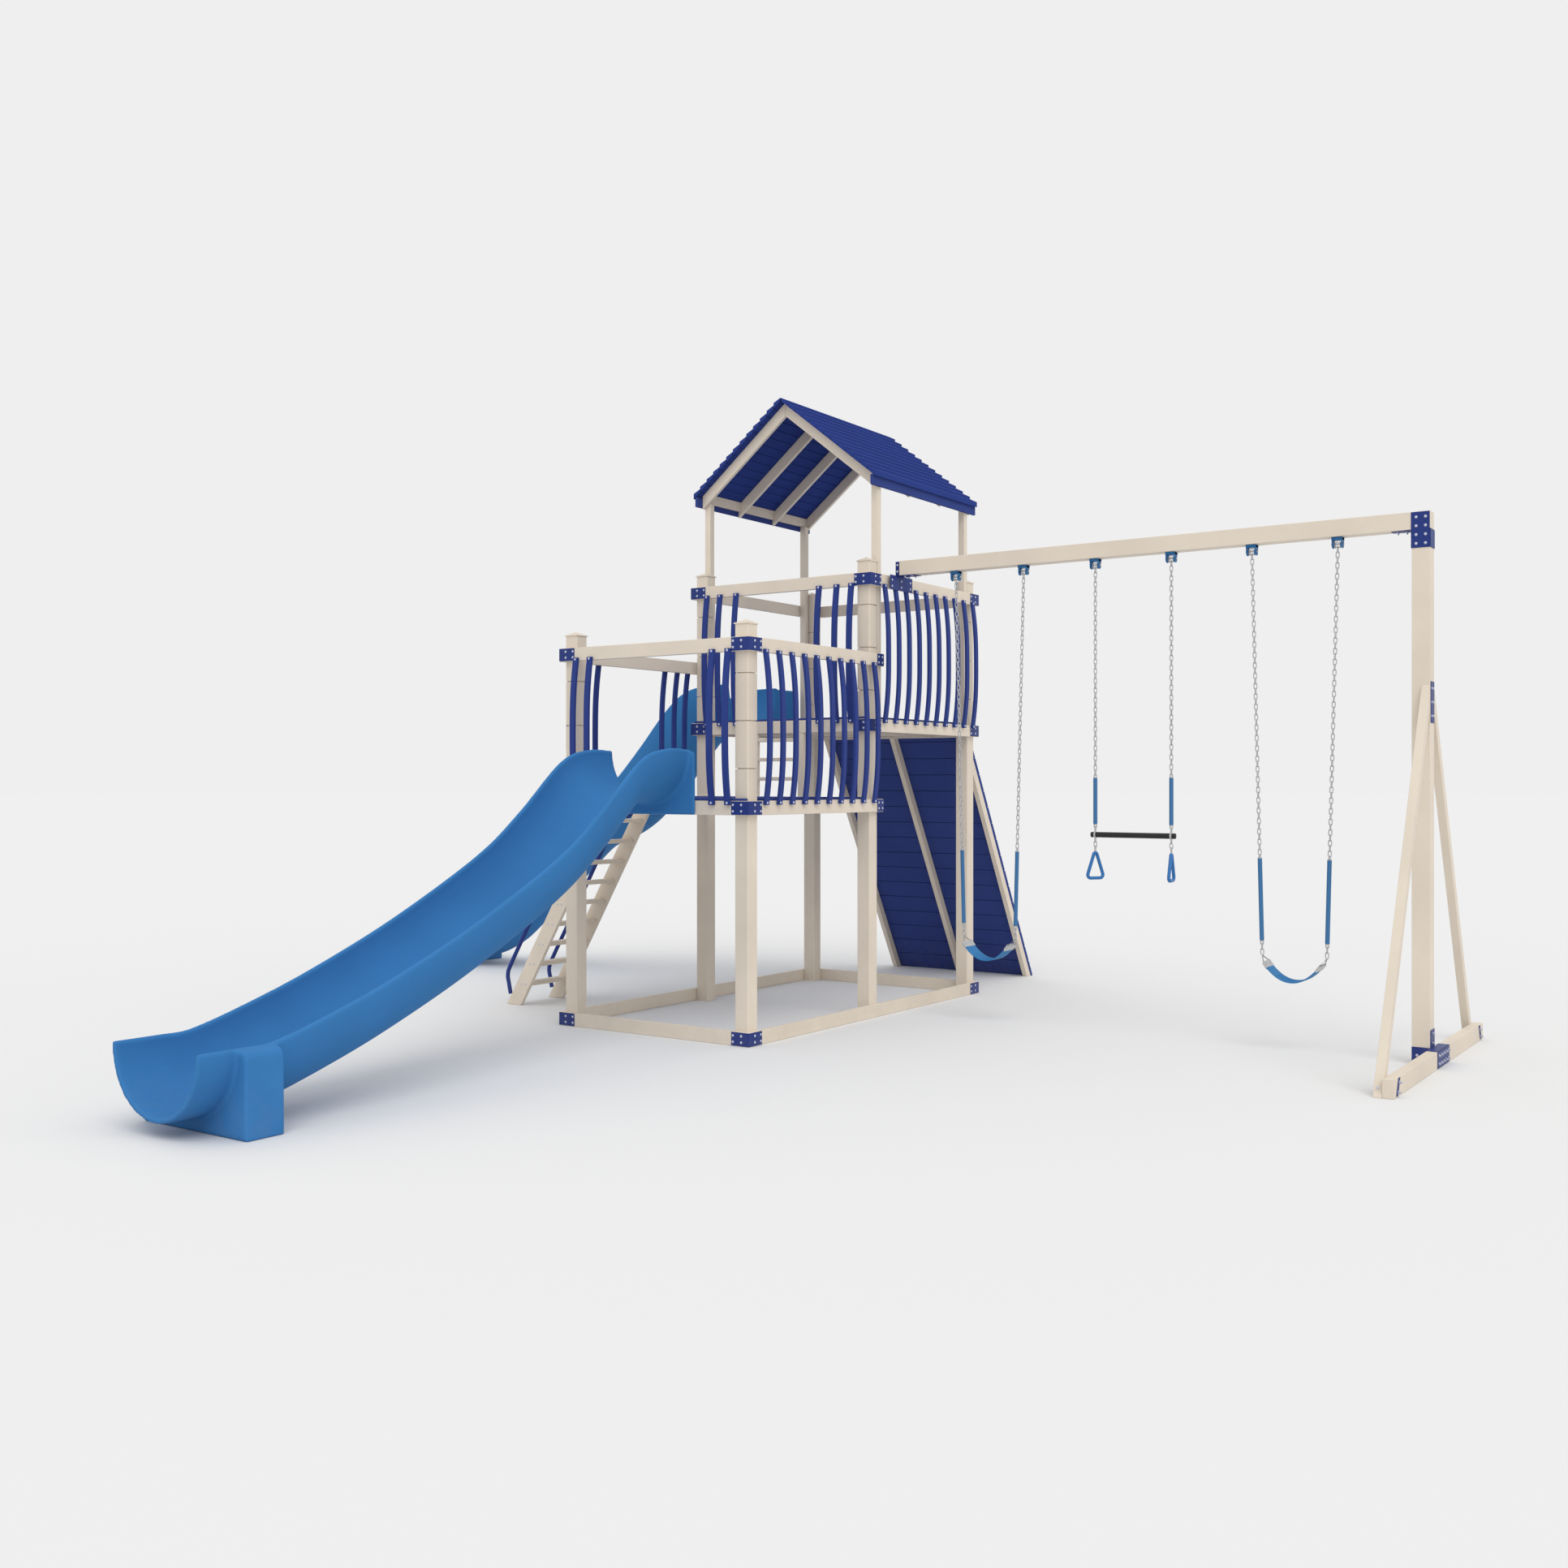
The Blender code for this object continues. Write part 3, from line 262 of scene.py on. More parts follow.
def band(work, first, second, start, end, across):
    """A curved strip between two edge lines with thickness along an axis, built of four-sided faces."""
    place = AXIS_ORDER[across]
    near_first, far_first, near_second, far_second = (
        [work.verts.new(place(a, b, depth)) for a, b in edge]
        for edge in (first, second) for depth in (start, end))
    for k in range(len(first) - 1):
        work.faces.new((near_first[k], near_first[k + 1], far_first[k + 1], far_first[k]))
        work.faces.new((near_second[k], near_second[k + 1], far_second[k + 1], far_second[k]))
        work.faces.new((near_first[k], near_first[k + 1], near_second[k + 1], near_second[k]))
        work.faces.new((far_first[k], far_first[k + 1], far_second[k + 1], far_second[k]))
    for k in (0, -1):
        work.faces.new((near_first[k], far_first[k], far_second[k], near_second[k]))


def sweep(work, points, radius, sides=10, closed=False):
    """A round tube along points, with flat ends when it is open."""
    points = [Vector(p) for p in points]
    count = len(points)
    rings = []
    side = None
    for k, here in enumerate(points):
        before = points[k - 1] if closed or k else here
        after = points[(k + 1) % count] if closed or k < count - 1 else here
        along = (after - before).normalized()
        if side is None:
            side = along.orthogonal().normalized()
        side = (side - along * side.dot(along)).normalized()
        other = along.cross(side)
        ring = []
        for s in range(sides):
            angle = 2 * math.pi * s / sides
            ring.append(work.verts.new(here + (side * math.cos(angle) + other * math.sin(angle)) * radius))
        rings.append(ring)
    pairs = list(zip(rings, rings[1:])) + ([(rings[-1], rings[0])] if closed else [])
    for near, far in pairs:
        for s in range(sides):
            work.faces.new((near[s - 1], near[s], far[s], far[s - 1]))
    if not closed:
        work.faces.new(rings[0])
        work.faces.new(rings[-1][::-1])


def rod(work, start, end, radius, sides=16):
    sweep(work, (start, end), radius, sides)


def bolt(work, place, outward, radius=0.007):
    """A domed head on a washer, standing on a surface that faces outward."""
    turn = Vector(outward).to_track_quat("Z", "Y")
    place = Vector(place)
    step = Vector(outward).normalized()
    washer = Matrix.LocRotScale(place + step * 0.0006, turn, None)
    bmesh.ops.create_cone(work, cap_ends=True, segments=14, radius1=radius * 1.25, radius2=radius * 1.2,
                          depth=0.0012, matrix=washer)
    dome = Matrix.LocRotScale(place + step * 0.001, turn, Vector((radius, radius, radius * 0.62)))
    bmesh.ops.create_uvsphere(work, u_segments=12, v_segments=8, radius=1.0, matrix=dome)


def stud(work, place, outward, length=0.012):
    """A washer, a hexagon nut and a bolt's end that stand out of a surface."""
    place, step = Vector(place), Vector(outward).normalized()
    rod(work, place, place + step * 0.0014, 0.0095)
    rod(work, place + step * 0.0014, place + step * 0.0075, 0.0082, 6)
    rod(work, place + step * 0.0075, place + step * length, 0.0048)


def spread(first, last, count):
    return [first + (last - first) * k / (count - 1) for k in range(count)]


def smooth_line(points, step):
    """Points about a step apart on a smooth curve through the given ones."""
    ends = [Vector(p) for p in points]
    before = [2 * ends[0] - ends[1]] + ends
    after = ends + [2 * ends[-1] - ends[-2]]
    line = [ends[0]]
    for i in range(len(ends) - 1):
        a, b, c, d = before[i], ends[i], ends[i + 1], after[i + 2]
        pieces = max(1, round((c - b).length / step))
        for k in range(1, pieces + 1):
            t = k / pieces
            bend = (2 * a - 5 * b + 4 * c - d) * t**2 + (3 * b - a - 3 * c + d) * t**3
            line.append(0.5 * (2 * b + (c - a) * t + bend))
    return line


# ---- Posts ----

CAP_HALF, CAP_EDGE, CAP_RISE = 0.0565, 0.006, 0.017
CAP_SHOULDER, CAP_PEAK, CAP_TIP = 0.011, 0.025, 0.004
CAP_SHOULDER_SHARE, CAP_PEAK_SHARE = 0.56, 0.57
CAP_SINK = 0.0002
CHAMFER = 0.005
GROOVES, FIRST_GROOVE, GROOVE_SPACING = 3, 0.186, 0.2985
GROOVE_HALF, GROOVE_DEPTH = 0.0032, 0.010


def post_ring(work, x, y, z, inset=0.0):
    """One ring of eight corners of a post's chamfered section."""
    half = POST / 2 - inset
    flat = half - CHAMFER
    corners = ((half, -flat), (half, flat), (flat, half), (-flat, half),
               (-half, flat), (-half, -flat), (-flat, -half), (flat, -half))
    return [work.verts.new((x + a, y + b, z)) for a, b in corners]


def make_post(node, rim, rail):
    x, y, _ = centre(node)
    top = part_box(node)[1].z - CAP_EDGE - CAP_RISE + EASE
    sleeve_low, sleeve_high = rim + DECK_ABOVE_RIM, rail - BOARD_HEIGHT
    grooves = [sleeve_low + FIRST_GROOVE + GROOVE_SPACING * k for k in range(GROOVES)]
    work = bmesh.new()
    levels = [(0.0, 0.0), (sleeve_low, 0.0)]
    for z in grooves:
        for offset, inset in ((-GROOVE_HALF, 0), (-GROOVE_HALF * 0.9, GROOVE_DEPTH),
                              (GROOVE_HALF * 0.9, GROOVE_DEPTH), (GROOVE_HALF, 0)):
            levels.append((z + offset, inset))
    levels += [(sleeve_high, 0.0), (top, 0.0)]
    rings = [post_ring(work, x, y, z, inset) for z, inset in levels]
    for near, far in zip(rings, rings[1:]):
        for k in range(8):
            work.faces.new((near[k - 1], near[k], far[k], far[k - 1]))
    work.faces.new(rings[0])
    work.faces.new(rings[-1])
    box(work, (x - CAP_HALF, y - CAP_HALF, top), (x + CAP_HALF, y + CAP_HALF, top + CAP_EDGE))
    quarter = Matrix.Rotation(math.pi / 4, 3, "Z").to_quaternion()
    radius = CAP_HALF * math.sqrt(2)
    shoulder = (0.0, CAP_SHOULDER, radius, radius * CAP_SHOULDER_SHARE)
    peak = (CAP_SHOULDER - 2 * CAP_SINK, CAP_PEAK, radius * CAP_PEAK_SHARE, CAP_TIP)
    for low, high, wide, narrow in (shoulder, peak):
        middle = Vector((x, y, top + CAP_EDGE - CAP_SINK + (low + high) / 2))
        bmesh.ops.create_cone(work, cap_ends=True, segments=4, radius1=wide, radius2=narrow,
                              depth=high - low, matrix=Matrix.LocRotScale(middle, quarter, None))
    piece(f"{node}_sleeve", work, "almond", stands_for=(node,), sharp=30.0)


def boxed(node, word):
    """A square timber that fills its node's box."""
    work = bmesh.new()
    box(work, *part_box(node))
    timber(f"{node}_{word}", work, node, TIMBER_EDGE)


def make_posts():
    for side in ("left", "right"):
        make_post(f"post_front_{side}", LOWER_RIM, LOWER_RAIL)
        make_post(f"post_mid_{side}", UPPER_RIM, UPPER_RAIL)
        make_post(f"post_rear_{side}", UPPER_RIM, UPPER_RAIL)
        for row in ("front", "rear"):
            boxed(f"roof_post_{row}_{side}", "square")


# ---- Boards and corner brackets ----

def side_board(work, x_side, start, end, top):
    xs = sided(x_side, HALF - BOARD, HALF)
    box(work, (xs[0], start, top - BOARD_HEIGHT), (xs[1], end, top))


def cross_board(work, y_outer, y_side, top):
    ys = sorted((y_outer, y_outer - y_side * BOARD))
    half = HALF - BOARD - STAND_OFF
    box(work, (-half, ys[0], top - BOARD_HEIGHT), (half, ys[1], top))


BRACKET_ROUND = 0.005
END_PLATE_REACH, END_BOLTS = 0.0837, (0.066, 0.018)


def corner_bracket(plates, bolts, x_side, y, y_side, top):
    """An angle plate around an outer corner, with four bolts on each arm."""
    middle = top - BOARD_HEIGHT / 2
    inner, outer = STAND_OFF, PLATE_OUT
    turn = outer - BRACKET_ROUND
    corner = [(-BRACKET_ARM, inner), (-BRACKET_ARM, outer), (turn, outer)]
    for angle in (math.radians(a) for a in (22, 45, 68)):
        corner.append((turn + BRACKET_ROUND * math.sin(angle), turn + BRACKET_ROUND * math.cos(angle)))
    corner += [(outer, turn), (outer, -BRACKET_ARM), (inner, -BRACKET_ARM), (inner, inner)]
    outline = [(x_side * (HALF + a), y + y_side * b) for a, b in corner]
    prism(plates, outline, middle - BRACKET_HEIGHT / 2, middle + BRACKET_HEIGHT / 2, "z")
    for along in BOLT_FROM_CORNER:
        for z in (middle - BOLT_ROW, middle + BOLT_ROW):
            bolt(bolts, (x_side * (HALF + outer), y - y_side * along, z), (x_side, 0, 0))
            bolt(bolts, (x_side * (HALF - along), y + y_side * outer, z), (0, y_side, 0))


def end_plate(plates, bolts, x_side, end, top):
    """A flat plate with four bolts where a side board stops."""
    middle = top - BOARD_HEIGHT / 2
    xs = sided(x_side, HALF + STAND_OFF, HALF + PLATE_OUT)
    box(plates, (xs[0], end - END_PLATE_REACH, middle - BRACKET_HEIGHT / 2),
        (xs[1], end + PLATE, middle + BRACKET_HEIGHT / 2))
    for inwards in END_BOLTS:
        for z in (middle - BOLT_ROW, middle + BOLT_ROW):
            bolt(bolts, (x_side * (HALF + PLATE_OUT), end - inwards, z), (x_side, 0, 0))


def make_base():
    plates, bolts = bmesh.new(), bmesh.new()
    for side, x_side in (("left", -1), ("right", 1)):
        work = bmesh.new()
        side_board(work, x_side, LOWER_FRONT, UPPER_BACK, BOARD_HEIGHT)
        timber(f"base_board_{side}", work, f"base_beam_{side}")
        corner_bracket(plates, bolts, x_side, LOWER_FRONT, -1, BOARD_HEIGHT)
        corner_bracket(plates, bolts, x_side, UPPER_BACK, 1, BOARD_HEIGHT)
    for row, y, y_side in (("front", LOWER_FRONT, -1), ("rear", UPPER_BACK, 1)):
        work = bmesh.new()
        cross_board(work, y, y_side, BOARD_HEIGHT)
        timber(f"base_board_{row}", work, f"base_beam_{row}")
    fittings("base", plates, bolts)


PLANK_WIDTH, PLANK_GAP = 0.1375, 0.004


def deck_planks(work, front, back, top, posts):
    """Planks across the deck, those beside the posts stopping short of them."""
    count = round((back - front) / PLANK_WIDTH)
    step = (back - front) / count
    reach = POST / 2 + PLANK_GAP
    for k in range(count):
        low, high = front + step * k, front + step * (k + 1) - PLANK_GAP
        beside = any(low < y + reach and high > y - reach for y in posts)
        half = POST_X - POST / 2 - PLANK_GAP / 2 if beside else HALF - BOARD + EASE
        box(work, (-half, low, top - PLANK), (half, high, top))


def make_deck(name, rim, front, end, posts, rim_back):
    work, plates, bolts = bmesh.new(), bmesh.new(), bmesh.new()
    under = rim + DECK_ABOVE_RIM - PLANK
    for x_side in (-1, 1):
        side_board(work, x_side, front, end, rim)
        corner_bracket(plates, bolts, x_side, front, -1, rim)
        if rim_back:
            corner_bracket(plates, bolts, x_side, end, 1, rim)
        else:
            end_plate(plates, bolts, x_side, end, rim)
    cross_board(work, front, -1, rim)
    last = end - BOARD if rim_back else UPPER_FRONT - BOARD
    if rim_back:
        cross_board(work, end, 1, rim)
    for x in JOIST_PLACES:
        box(work, (x - BOARD / 2, front + BOARD, rim - BOARD_HEIGHT + EASE), (x + BOARD / 2, last, under))
    timber(f"{name}_boards", work, name)
    planks = bmesh.new()
    deck_planks(planks, front + BOARD - EASE, last, rim + DECK_ABOVE_RIM, posts)
    box(planks, (-HALF + BOARD, front + PLANK_GAP, rim + STAND_OFF),
        (HALF - BOARD, front + BOARD - PLANK_GAP / 2, rim + DECK_ABOVE_RIM))
    piece(f"{name}_planks", planks, "navy_plank_painted_light", bevel=BOARD_EDGE)
    fittings(name, plates, bolts)


# ---- Guards ----

def bar_outline(rail, rim):
    """One curved guard bar as an (outward, height) outline."""
    top, bottom = rail - BAR_TOP_BELOW_RAIL, rim - BAR_BOTTOM_BELOW_RIM
    arc_top, arc_bottom = top - BAR_FLAT, bottom + BAR_FLAT
    inner = [(STAND_OFF, top), (STAND_OFF, arc_top)]
    for k in range(1, BAR_STEPS):
        t = k / BAR_STEPS
        rise = 1.0 - (1.0 - math.sin(math.pi * t)) ** 1.5
        off = STAND_OFF + (BAR_FOOT_OFF - STAND_OFF) * t
        inner.append((off + BAR_BULGE * rise, arc_top + (arc_bottom - arc_top) * t))
    inner += [(BAR_FOOT_OFF, arc_bottom), (BAR_FOOT_OFF, bottom)]
    return inner, [(x + BAR_THICKNESS, z) for x, z in inner]


def bars(work, bolts, face, outward, places, rail, rim):
    """Guard bars on a face: outward is (1, 0), (-1, 0) for x or (0, -1) for y."""
    inner, outer = bar_outline(rail, rim)
    x_way, y_way = outward
    across = "y" if x_way else "x"
    sign = x_way or y_way
    edges = [[(face + sign * out, z) for out, z in edge] for edge in (inner, outer)]
    for place in places:
        band(work, *edges, place - BAR_WIDTH / 2, place + BAR_WIDTH / 2, across)
        for (out, end), inwards in ((outer[0], -BAR_TOP_BOLT), (outer[-1], BAR_FOOT_BOLT)):
            z = end + inwards
            spot = (face + sign * out, place, z) if x_way else (place, face + sign * out, z)
            bolt(bolts, spot, (x_way, y_way, 0))


# Name, side, start, end, places of the bars, rail and rim, and whether the rear corner has a bracket
GUARDS = (
    ("lower_guard_right", 1, LOWER_FRONT, LOWER_END, spread(0.154, 1.453, 10), LOWER_RAIL, LOWER_RIM, False),
    ("lower_guard_left", -1, LOWER_FRONT, LOWER_END, (0.123, 0.247, 0.390, 1.122, 1.266, 1.390),
     LOWER_RAIL, LOWER_RIM, False),
    ("upper_guard_right", 1, UPPER_FRONT, UPPER_BACK, spread(1.596, 2.909, 10), UPPER_RAIL, UPPER_RIM, True),
    ("upper_rail_left", -1, UPPER_FRONT, UPPER_BACK, (), UPPER_RAIL, UPPER_RIM, True),
)
FRONT_GUARDS = (
    ("lower_guard_front", LOWER_FRONT, (-0.636, -0.512, 0.512, 0.636), LOWER_RAIL, LOWER_RIM),
    ("upper_guard_front", UPPER_FRONT, (-0.637, -0.515, -0.366, 0.366, 0.515, 0.637), UPPER_RAIL, UPPER_RIM),
)


def make_guards():
    for name, x_side, start, end, places, rail, rim, rear_corner in GUARDS:
        board, plates, bolts, uprights = bmesh.new(), bmesh.new(), bmesh.new(), bmesh.new()
        side_board(board, x_side, start, end, rail)
        timber(f"{name}_board", board, name)
        bars(uprights, bolts, x_side * HALF, (x_side, 0), places, rail, rim)
        corner_bracket(plates, bolts, x_side, start, -1, rail)
        if rear_corner:
            corner_bracket(plates, bolts, x_side, end, 1, rail)
        else:
            end_plate(plates, bolts, x_side, end, rail)
        if places:
            piece(f"{name}_bars", uprights, "navy", bevel=BAR_EDGE, sharp=30.0)
        fittings(name, plates, bolts)
    for name, face, places, rail, rim in FRONT_GUARDS:
        board, bolts, uprights = bmesh.new(), bmesh.new(), bmesh.new()
        cross_board(board, face, -1, rail)
        timber(f"{name}_board", board, name)
        bars(uprights, bolts, face, (0, -1), places, rail, rim)
        piece(f"{name}_bars", uprights, "navy", bevel=BAR_EDGE, sharp=30.0)
        piece(f"{name}_bolts", bolts, "bolt")
    board = bmesh.new()
    cross_board(board, UPPER_BACK, 1, UPPER_RAIL)
    timber("upper_rail_rear_board", board, "upper_rail_rear")


# ---- Roof ----

roof_low, roof_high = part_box("roof_frame")
RAFTER_APEX = roof_high.z
RAFTER_FOOT = roof_high.x
RAFTER_DEPTH = 0.099
RAFTERS, RIDGE_GAP = 4, 0.0006
ROOF_SLOPE = 0.79
panel_low, panel_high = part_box("roof_panel_right")
EAVE = panel_high.x
ROOF_START, ROOF_END = panel_low.y, panel_high.y
COURSES, COURSE_EDGE = 13, 0.0012
COURSE_THIN, COURSE_THICK = 0.022, 0.040
COURSE_SEAM, COURSE_GROOVE, COURSE_LAP = 0.006, 0.014, 0.003
FASCIA_LOW, FASCIA, FASCIA_GAP = 3.72, 0.020, 0.0008
WALL_PLATE_LOW, WALL_PLATE_WIDTH, WALL_PLATE_INSET = 3.756, 0.027, 0.002


def roof_height(x, base):
    return base - ROOF_SLOPE * abs(x)


def make_roof():
    work = bmesh.new()
    foot, low = RAFTER_FOOT, RAFTER_APEX - RAFTER_DEPTH
    outside, inside = foot - WALL_PLATE_INSET, foot - WALL_PLATE_WIDTH
    for x_side in (-1, 1):
        rafter = [(RIDGE_GAP * x_side, RAFTER_APEX), (RIDGE_GAP * x_side, low),
                  (x_side * foot, roof_height(foot, low)), (x_side * foot, roof_height(foot, RAFTER_APEX))]
        for y in spread(roof_low.y, roof_high.y - BOARD, RAFTERS):
            prism(work, rafter, y, y + BOARD, "y")
        outer_top, inner_top = (roof_height(x, RAFTER_APEX) - WALL_PLATE_INSET for x in (foot, inside))
        plate = [(x_side * outside, WALL_PLATE_LOW), (x_side * outside, outer_top),
                 (x_side * inside, inner_top), (x_side * inside, WALL_PLATE_LOW)]
        prism(work, plate, roof_low.y + EASE, roof_high.y - EASE, "y")
    timber("roof_rafters", work, "roof_frame")
    under = RAFTER_APEX + STAND_OFF
    for side, x_side in (("left", -1), ("right", 1)):
        work = bmesh.new()
        for k in range(COURSES):
            near, far = (STAND_OFF + (EAVE - STAND_OFF) * part / COURSES for part in (k, k + 1))
            seam = near + COURSE_SEAM
            top = near - COURSE_LAP if k else near
            profile = ((seam, 0.0), (seam, COURSE_GROOVE), (top, COURSE_GROOVE),
                       (top, COURSE_THIN), (far, COURSE_THICK), (far, 0.0))
            course = [(x_side * x, roof_height(x, under) + lift) for x, lift in profile]
            prism(work, course, ROOF_START, ROOF_END, "y")
        xs = sided(x_side, RAFTER_FOOT + FASCIA_GAP, RAFTER_FOOT + FASCIA_GAP + FASCIA)
        fascia_top = roof_height(RAFTER_FOOT + FASCIA, under) - EASE
        fascia = bmesh.new()
        box(fascia, (xs[0], ROOF_START + EASE, FASCIA_LOW), (xs[1], ROOF_END - EASE, fascia_top))
        # The fascia takes the lightened navy: painted light
        piece(f"roof_fascia_{side}", fascia, "navy_plank_painted_light", bevel=COURSE_EDGE)
        node = f"roof_panel_{side}"
        # The courses take the darkened navy: painted shade on the roof's top
        piece(f"roof_courses_{side}", work, "navy_course_painted_shade", stands_for=(node,), bevel=COURSE_EDGE)


# ---- Slides ----

FRONT_RIM_LINE = (
    (0.0, 1.839), (0.25, 1.836), (0.485, 1.757), (0.855, 1.443), (1.202, 1.196), (1.834, 0.875),
    (2.395, 0.643), (2.801, 0.505), (3.13, 0.415), (3.30, 0.409), (3.54, 0.409),
)
LEFT_RIM_LINE = (
    (0.0, 2.40), (0.28, 2.385), (0.47, 2.327), (0.66, 2.170), (0.88, 1.931), (1.14, 1.670),
    (1.34, 1.520), (1.70, 1.370), (2.00, 1.140), (2.35, 0.840), (2.67, 0.570), (2.82, 0.470),
    (2.98, 0.412), (3.20, 0.409), (3.60, 0.409),
)
TROUGH_RADIUS, TROUGH_WALL = 0.337, 0.027
FLANGE = 0.018
RIM_ROLL, ROLL_SINK = 0.0165, 0.004
TROUGH_SIDES = 40
STATION_STEP = 0.04
BLOCK_HALF = 0.40
LIP_VOXEL, QUICK_VOXEL = 0.0095, 0.02
# Half the flange's width and the ends of the foot block along each slide
FRONT_FLANGE_HALF, FRONT_BLOCK = 0.379, (3.128, 3.339)
LEFT_FLANGE_HALF, LEFT_BLOCK = 0.633, (3.19, 3.40)


def trough_rows(line, radius):
    """Cross-section points of the trough at each station of a rim line, in a frame that runs to -Y."""
    rows = []
    for i, here in enumerate(line):
        along = (line[min(i + 1, len(line) - 1)] - line[max(i - 1, 0)]).normalized()
        if i in (0, len(line) - 1):
            along = Vector((1.0, 0.0))
        down = Vector((along.y, -along.x))
        row = []
        for k in range(TROUGH_SIDES + 1):
            angle = math.pi * k / TROUGH_SIDES
            spot = here + down * (radius * math.sin(angle))
            row.append(Vector((radius * math.cos(angle), -spot.x, spot.y)))
        rows.append(row)
    return rows


def flange_outline(half, low, rim, radius, corner=0.035):
    """A plate outline with a trough let into its top edge and rounded top corners."""
    trough = []
    for k in range(TROUGH_SIDES + 1):
        angle = -math.pi * k / TROUGH_SIDES
        trough.append((radius * math.cos(angle), rim + radius * math.sin(angle)))
    right = [(half - corner + corner * math.sin(a), rim - corner + corner * math.cos(a))
             for a in map(math.radians, (90, 60, 30, 0))]
    left = [(-x, z) for x, z in right[::-1]]
    return [(-half, low), (half, low)] + right + trough + left


def make_slide(name, look, rim_line, flange_half, flange_low, block_ends, place, turn):
    """A moulded trough with rolled rims, its flange and its foot block, grown together and softened."""
    line = smooth_line(rim_line, STATION_STEP)
    line[0] = Vector((FLANGE / 2, line[0].y))
    work = bmesh.new()
    inner = trough_rows(line, TROUGH_RADIUS - TROUGH_WALL)
    outer = trough_rows(line, TROUGH_RADIUS)
    loops = [[work.verts.new(p) for p in near + far[::-1]] for near, far in zip(inner, outer)]
    for near, far in zip(loops, loops[1:]):
        for k in range(len(near)):
            work.faces.new((near[k - 1], near[k], far[k], far[k - 1]))
    work.faces.new(loops[0])
    work.faces.new(loops[-1][::-1])
    middle = TROUGH_RADIUS - TROUGH_WALL / 2
    for x_side in (-1, 1):
        sweep(work, [(x_side * middle, -p.x, p.y - ROLL_SINK) for p in line], RIM_ROLL, 12)
    rim = rim_line[0][1]
    prism(work, flange_outline(flange_half, flange_low, rim, middle), -FLANGE - STAND_OFF, -STAND_OFF, "y")
    block = flange_outline(BLOCK_HALF, 0.0, rim_line[-1][1], middle)
    prism(work, block, -block_ends[1], -block_ends[0], "y")
    bmesh.ops.transform(work, matrix=Matrix.Translation(place) @ Matrix.Rotation(math.radians(turn), 4, "Z"),
                        verts=work.verts)
    made = piece(f"{name}_moulding", work, look, stands_for=(name,), sharp=180.0)
    grown = made.modifiers.new("mould", "REMESH")
    grown.mode = "VOXEL"
    grown.voxel_size = LIP_VOXEL
    grown.use_smooth_shade = True
    soft = made.modifiers.new("soften", "SMOOTH")
    soft.factor = 0.5
    soft.iterations = 6


def make_slides():
    make_slide("slide_front", "blue", FRONT_RIM_LINE, FRONT_FLANGE_HALF, LOWER_RIM - BOARD_HEIGHT,
               FRONT_BLOCK, (0.0, LOWER_FRONT, 0.0), 0.0)
    make_slide("slide_left", "blue_cross", LEFT_RIM_LINE, LEFT_FLANGE_HALF, UPPER_RIM - BOARD_HEIGHT,
               LEFT_BLOCK, (-HALF, centre("slide_left")[1], 0.0), -90.0)


# ---- Ladder, deck steps and climbing ramp ----

LADDER_LEAN = 0.60
LADDER_FOOT_WIDTH = 0.14
STRINGER = 0.03
TREADS, FIRST_TREAD, TREAD_RISE, TREAD_DEPTH = 9, 0.158, 0.1506, 0.10
TREAD_BOLTS, TREAD_BOLT_RADIUS = (0.03, 0.07), 0.0055
# Ridges of a tread, and how much of each is flat before its groove's top, bottom and far end
RIDGES, RIDGE_FLAT, GROOVE_NEAR, GROOVE_FAR, TREAD_GROOVE = 5, 0.8, 0.84, 0.96, 0.0025
HANDRAIL_RADIUS, HANDRAIL_STEP = 0.015, 0.03
HANDRAIL_BOLTS, HANDRAIL_BOLT_RADIUS = (0.10, 1.395), 0.005
HANDRAIL_ROUTE = (
    (-0.004, 0.075), (-0.066, 0.150), (-0.122, 0.225), (-0.133, 0.330), (-0.130, 0.75),
    (-0.130, 1.16), (-0.122, 1.27), (-0.066, 1.36), (-0.004, 1.42),
)


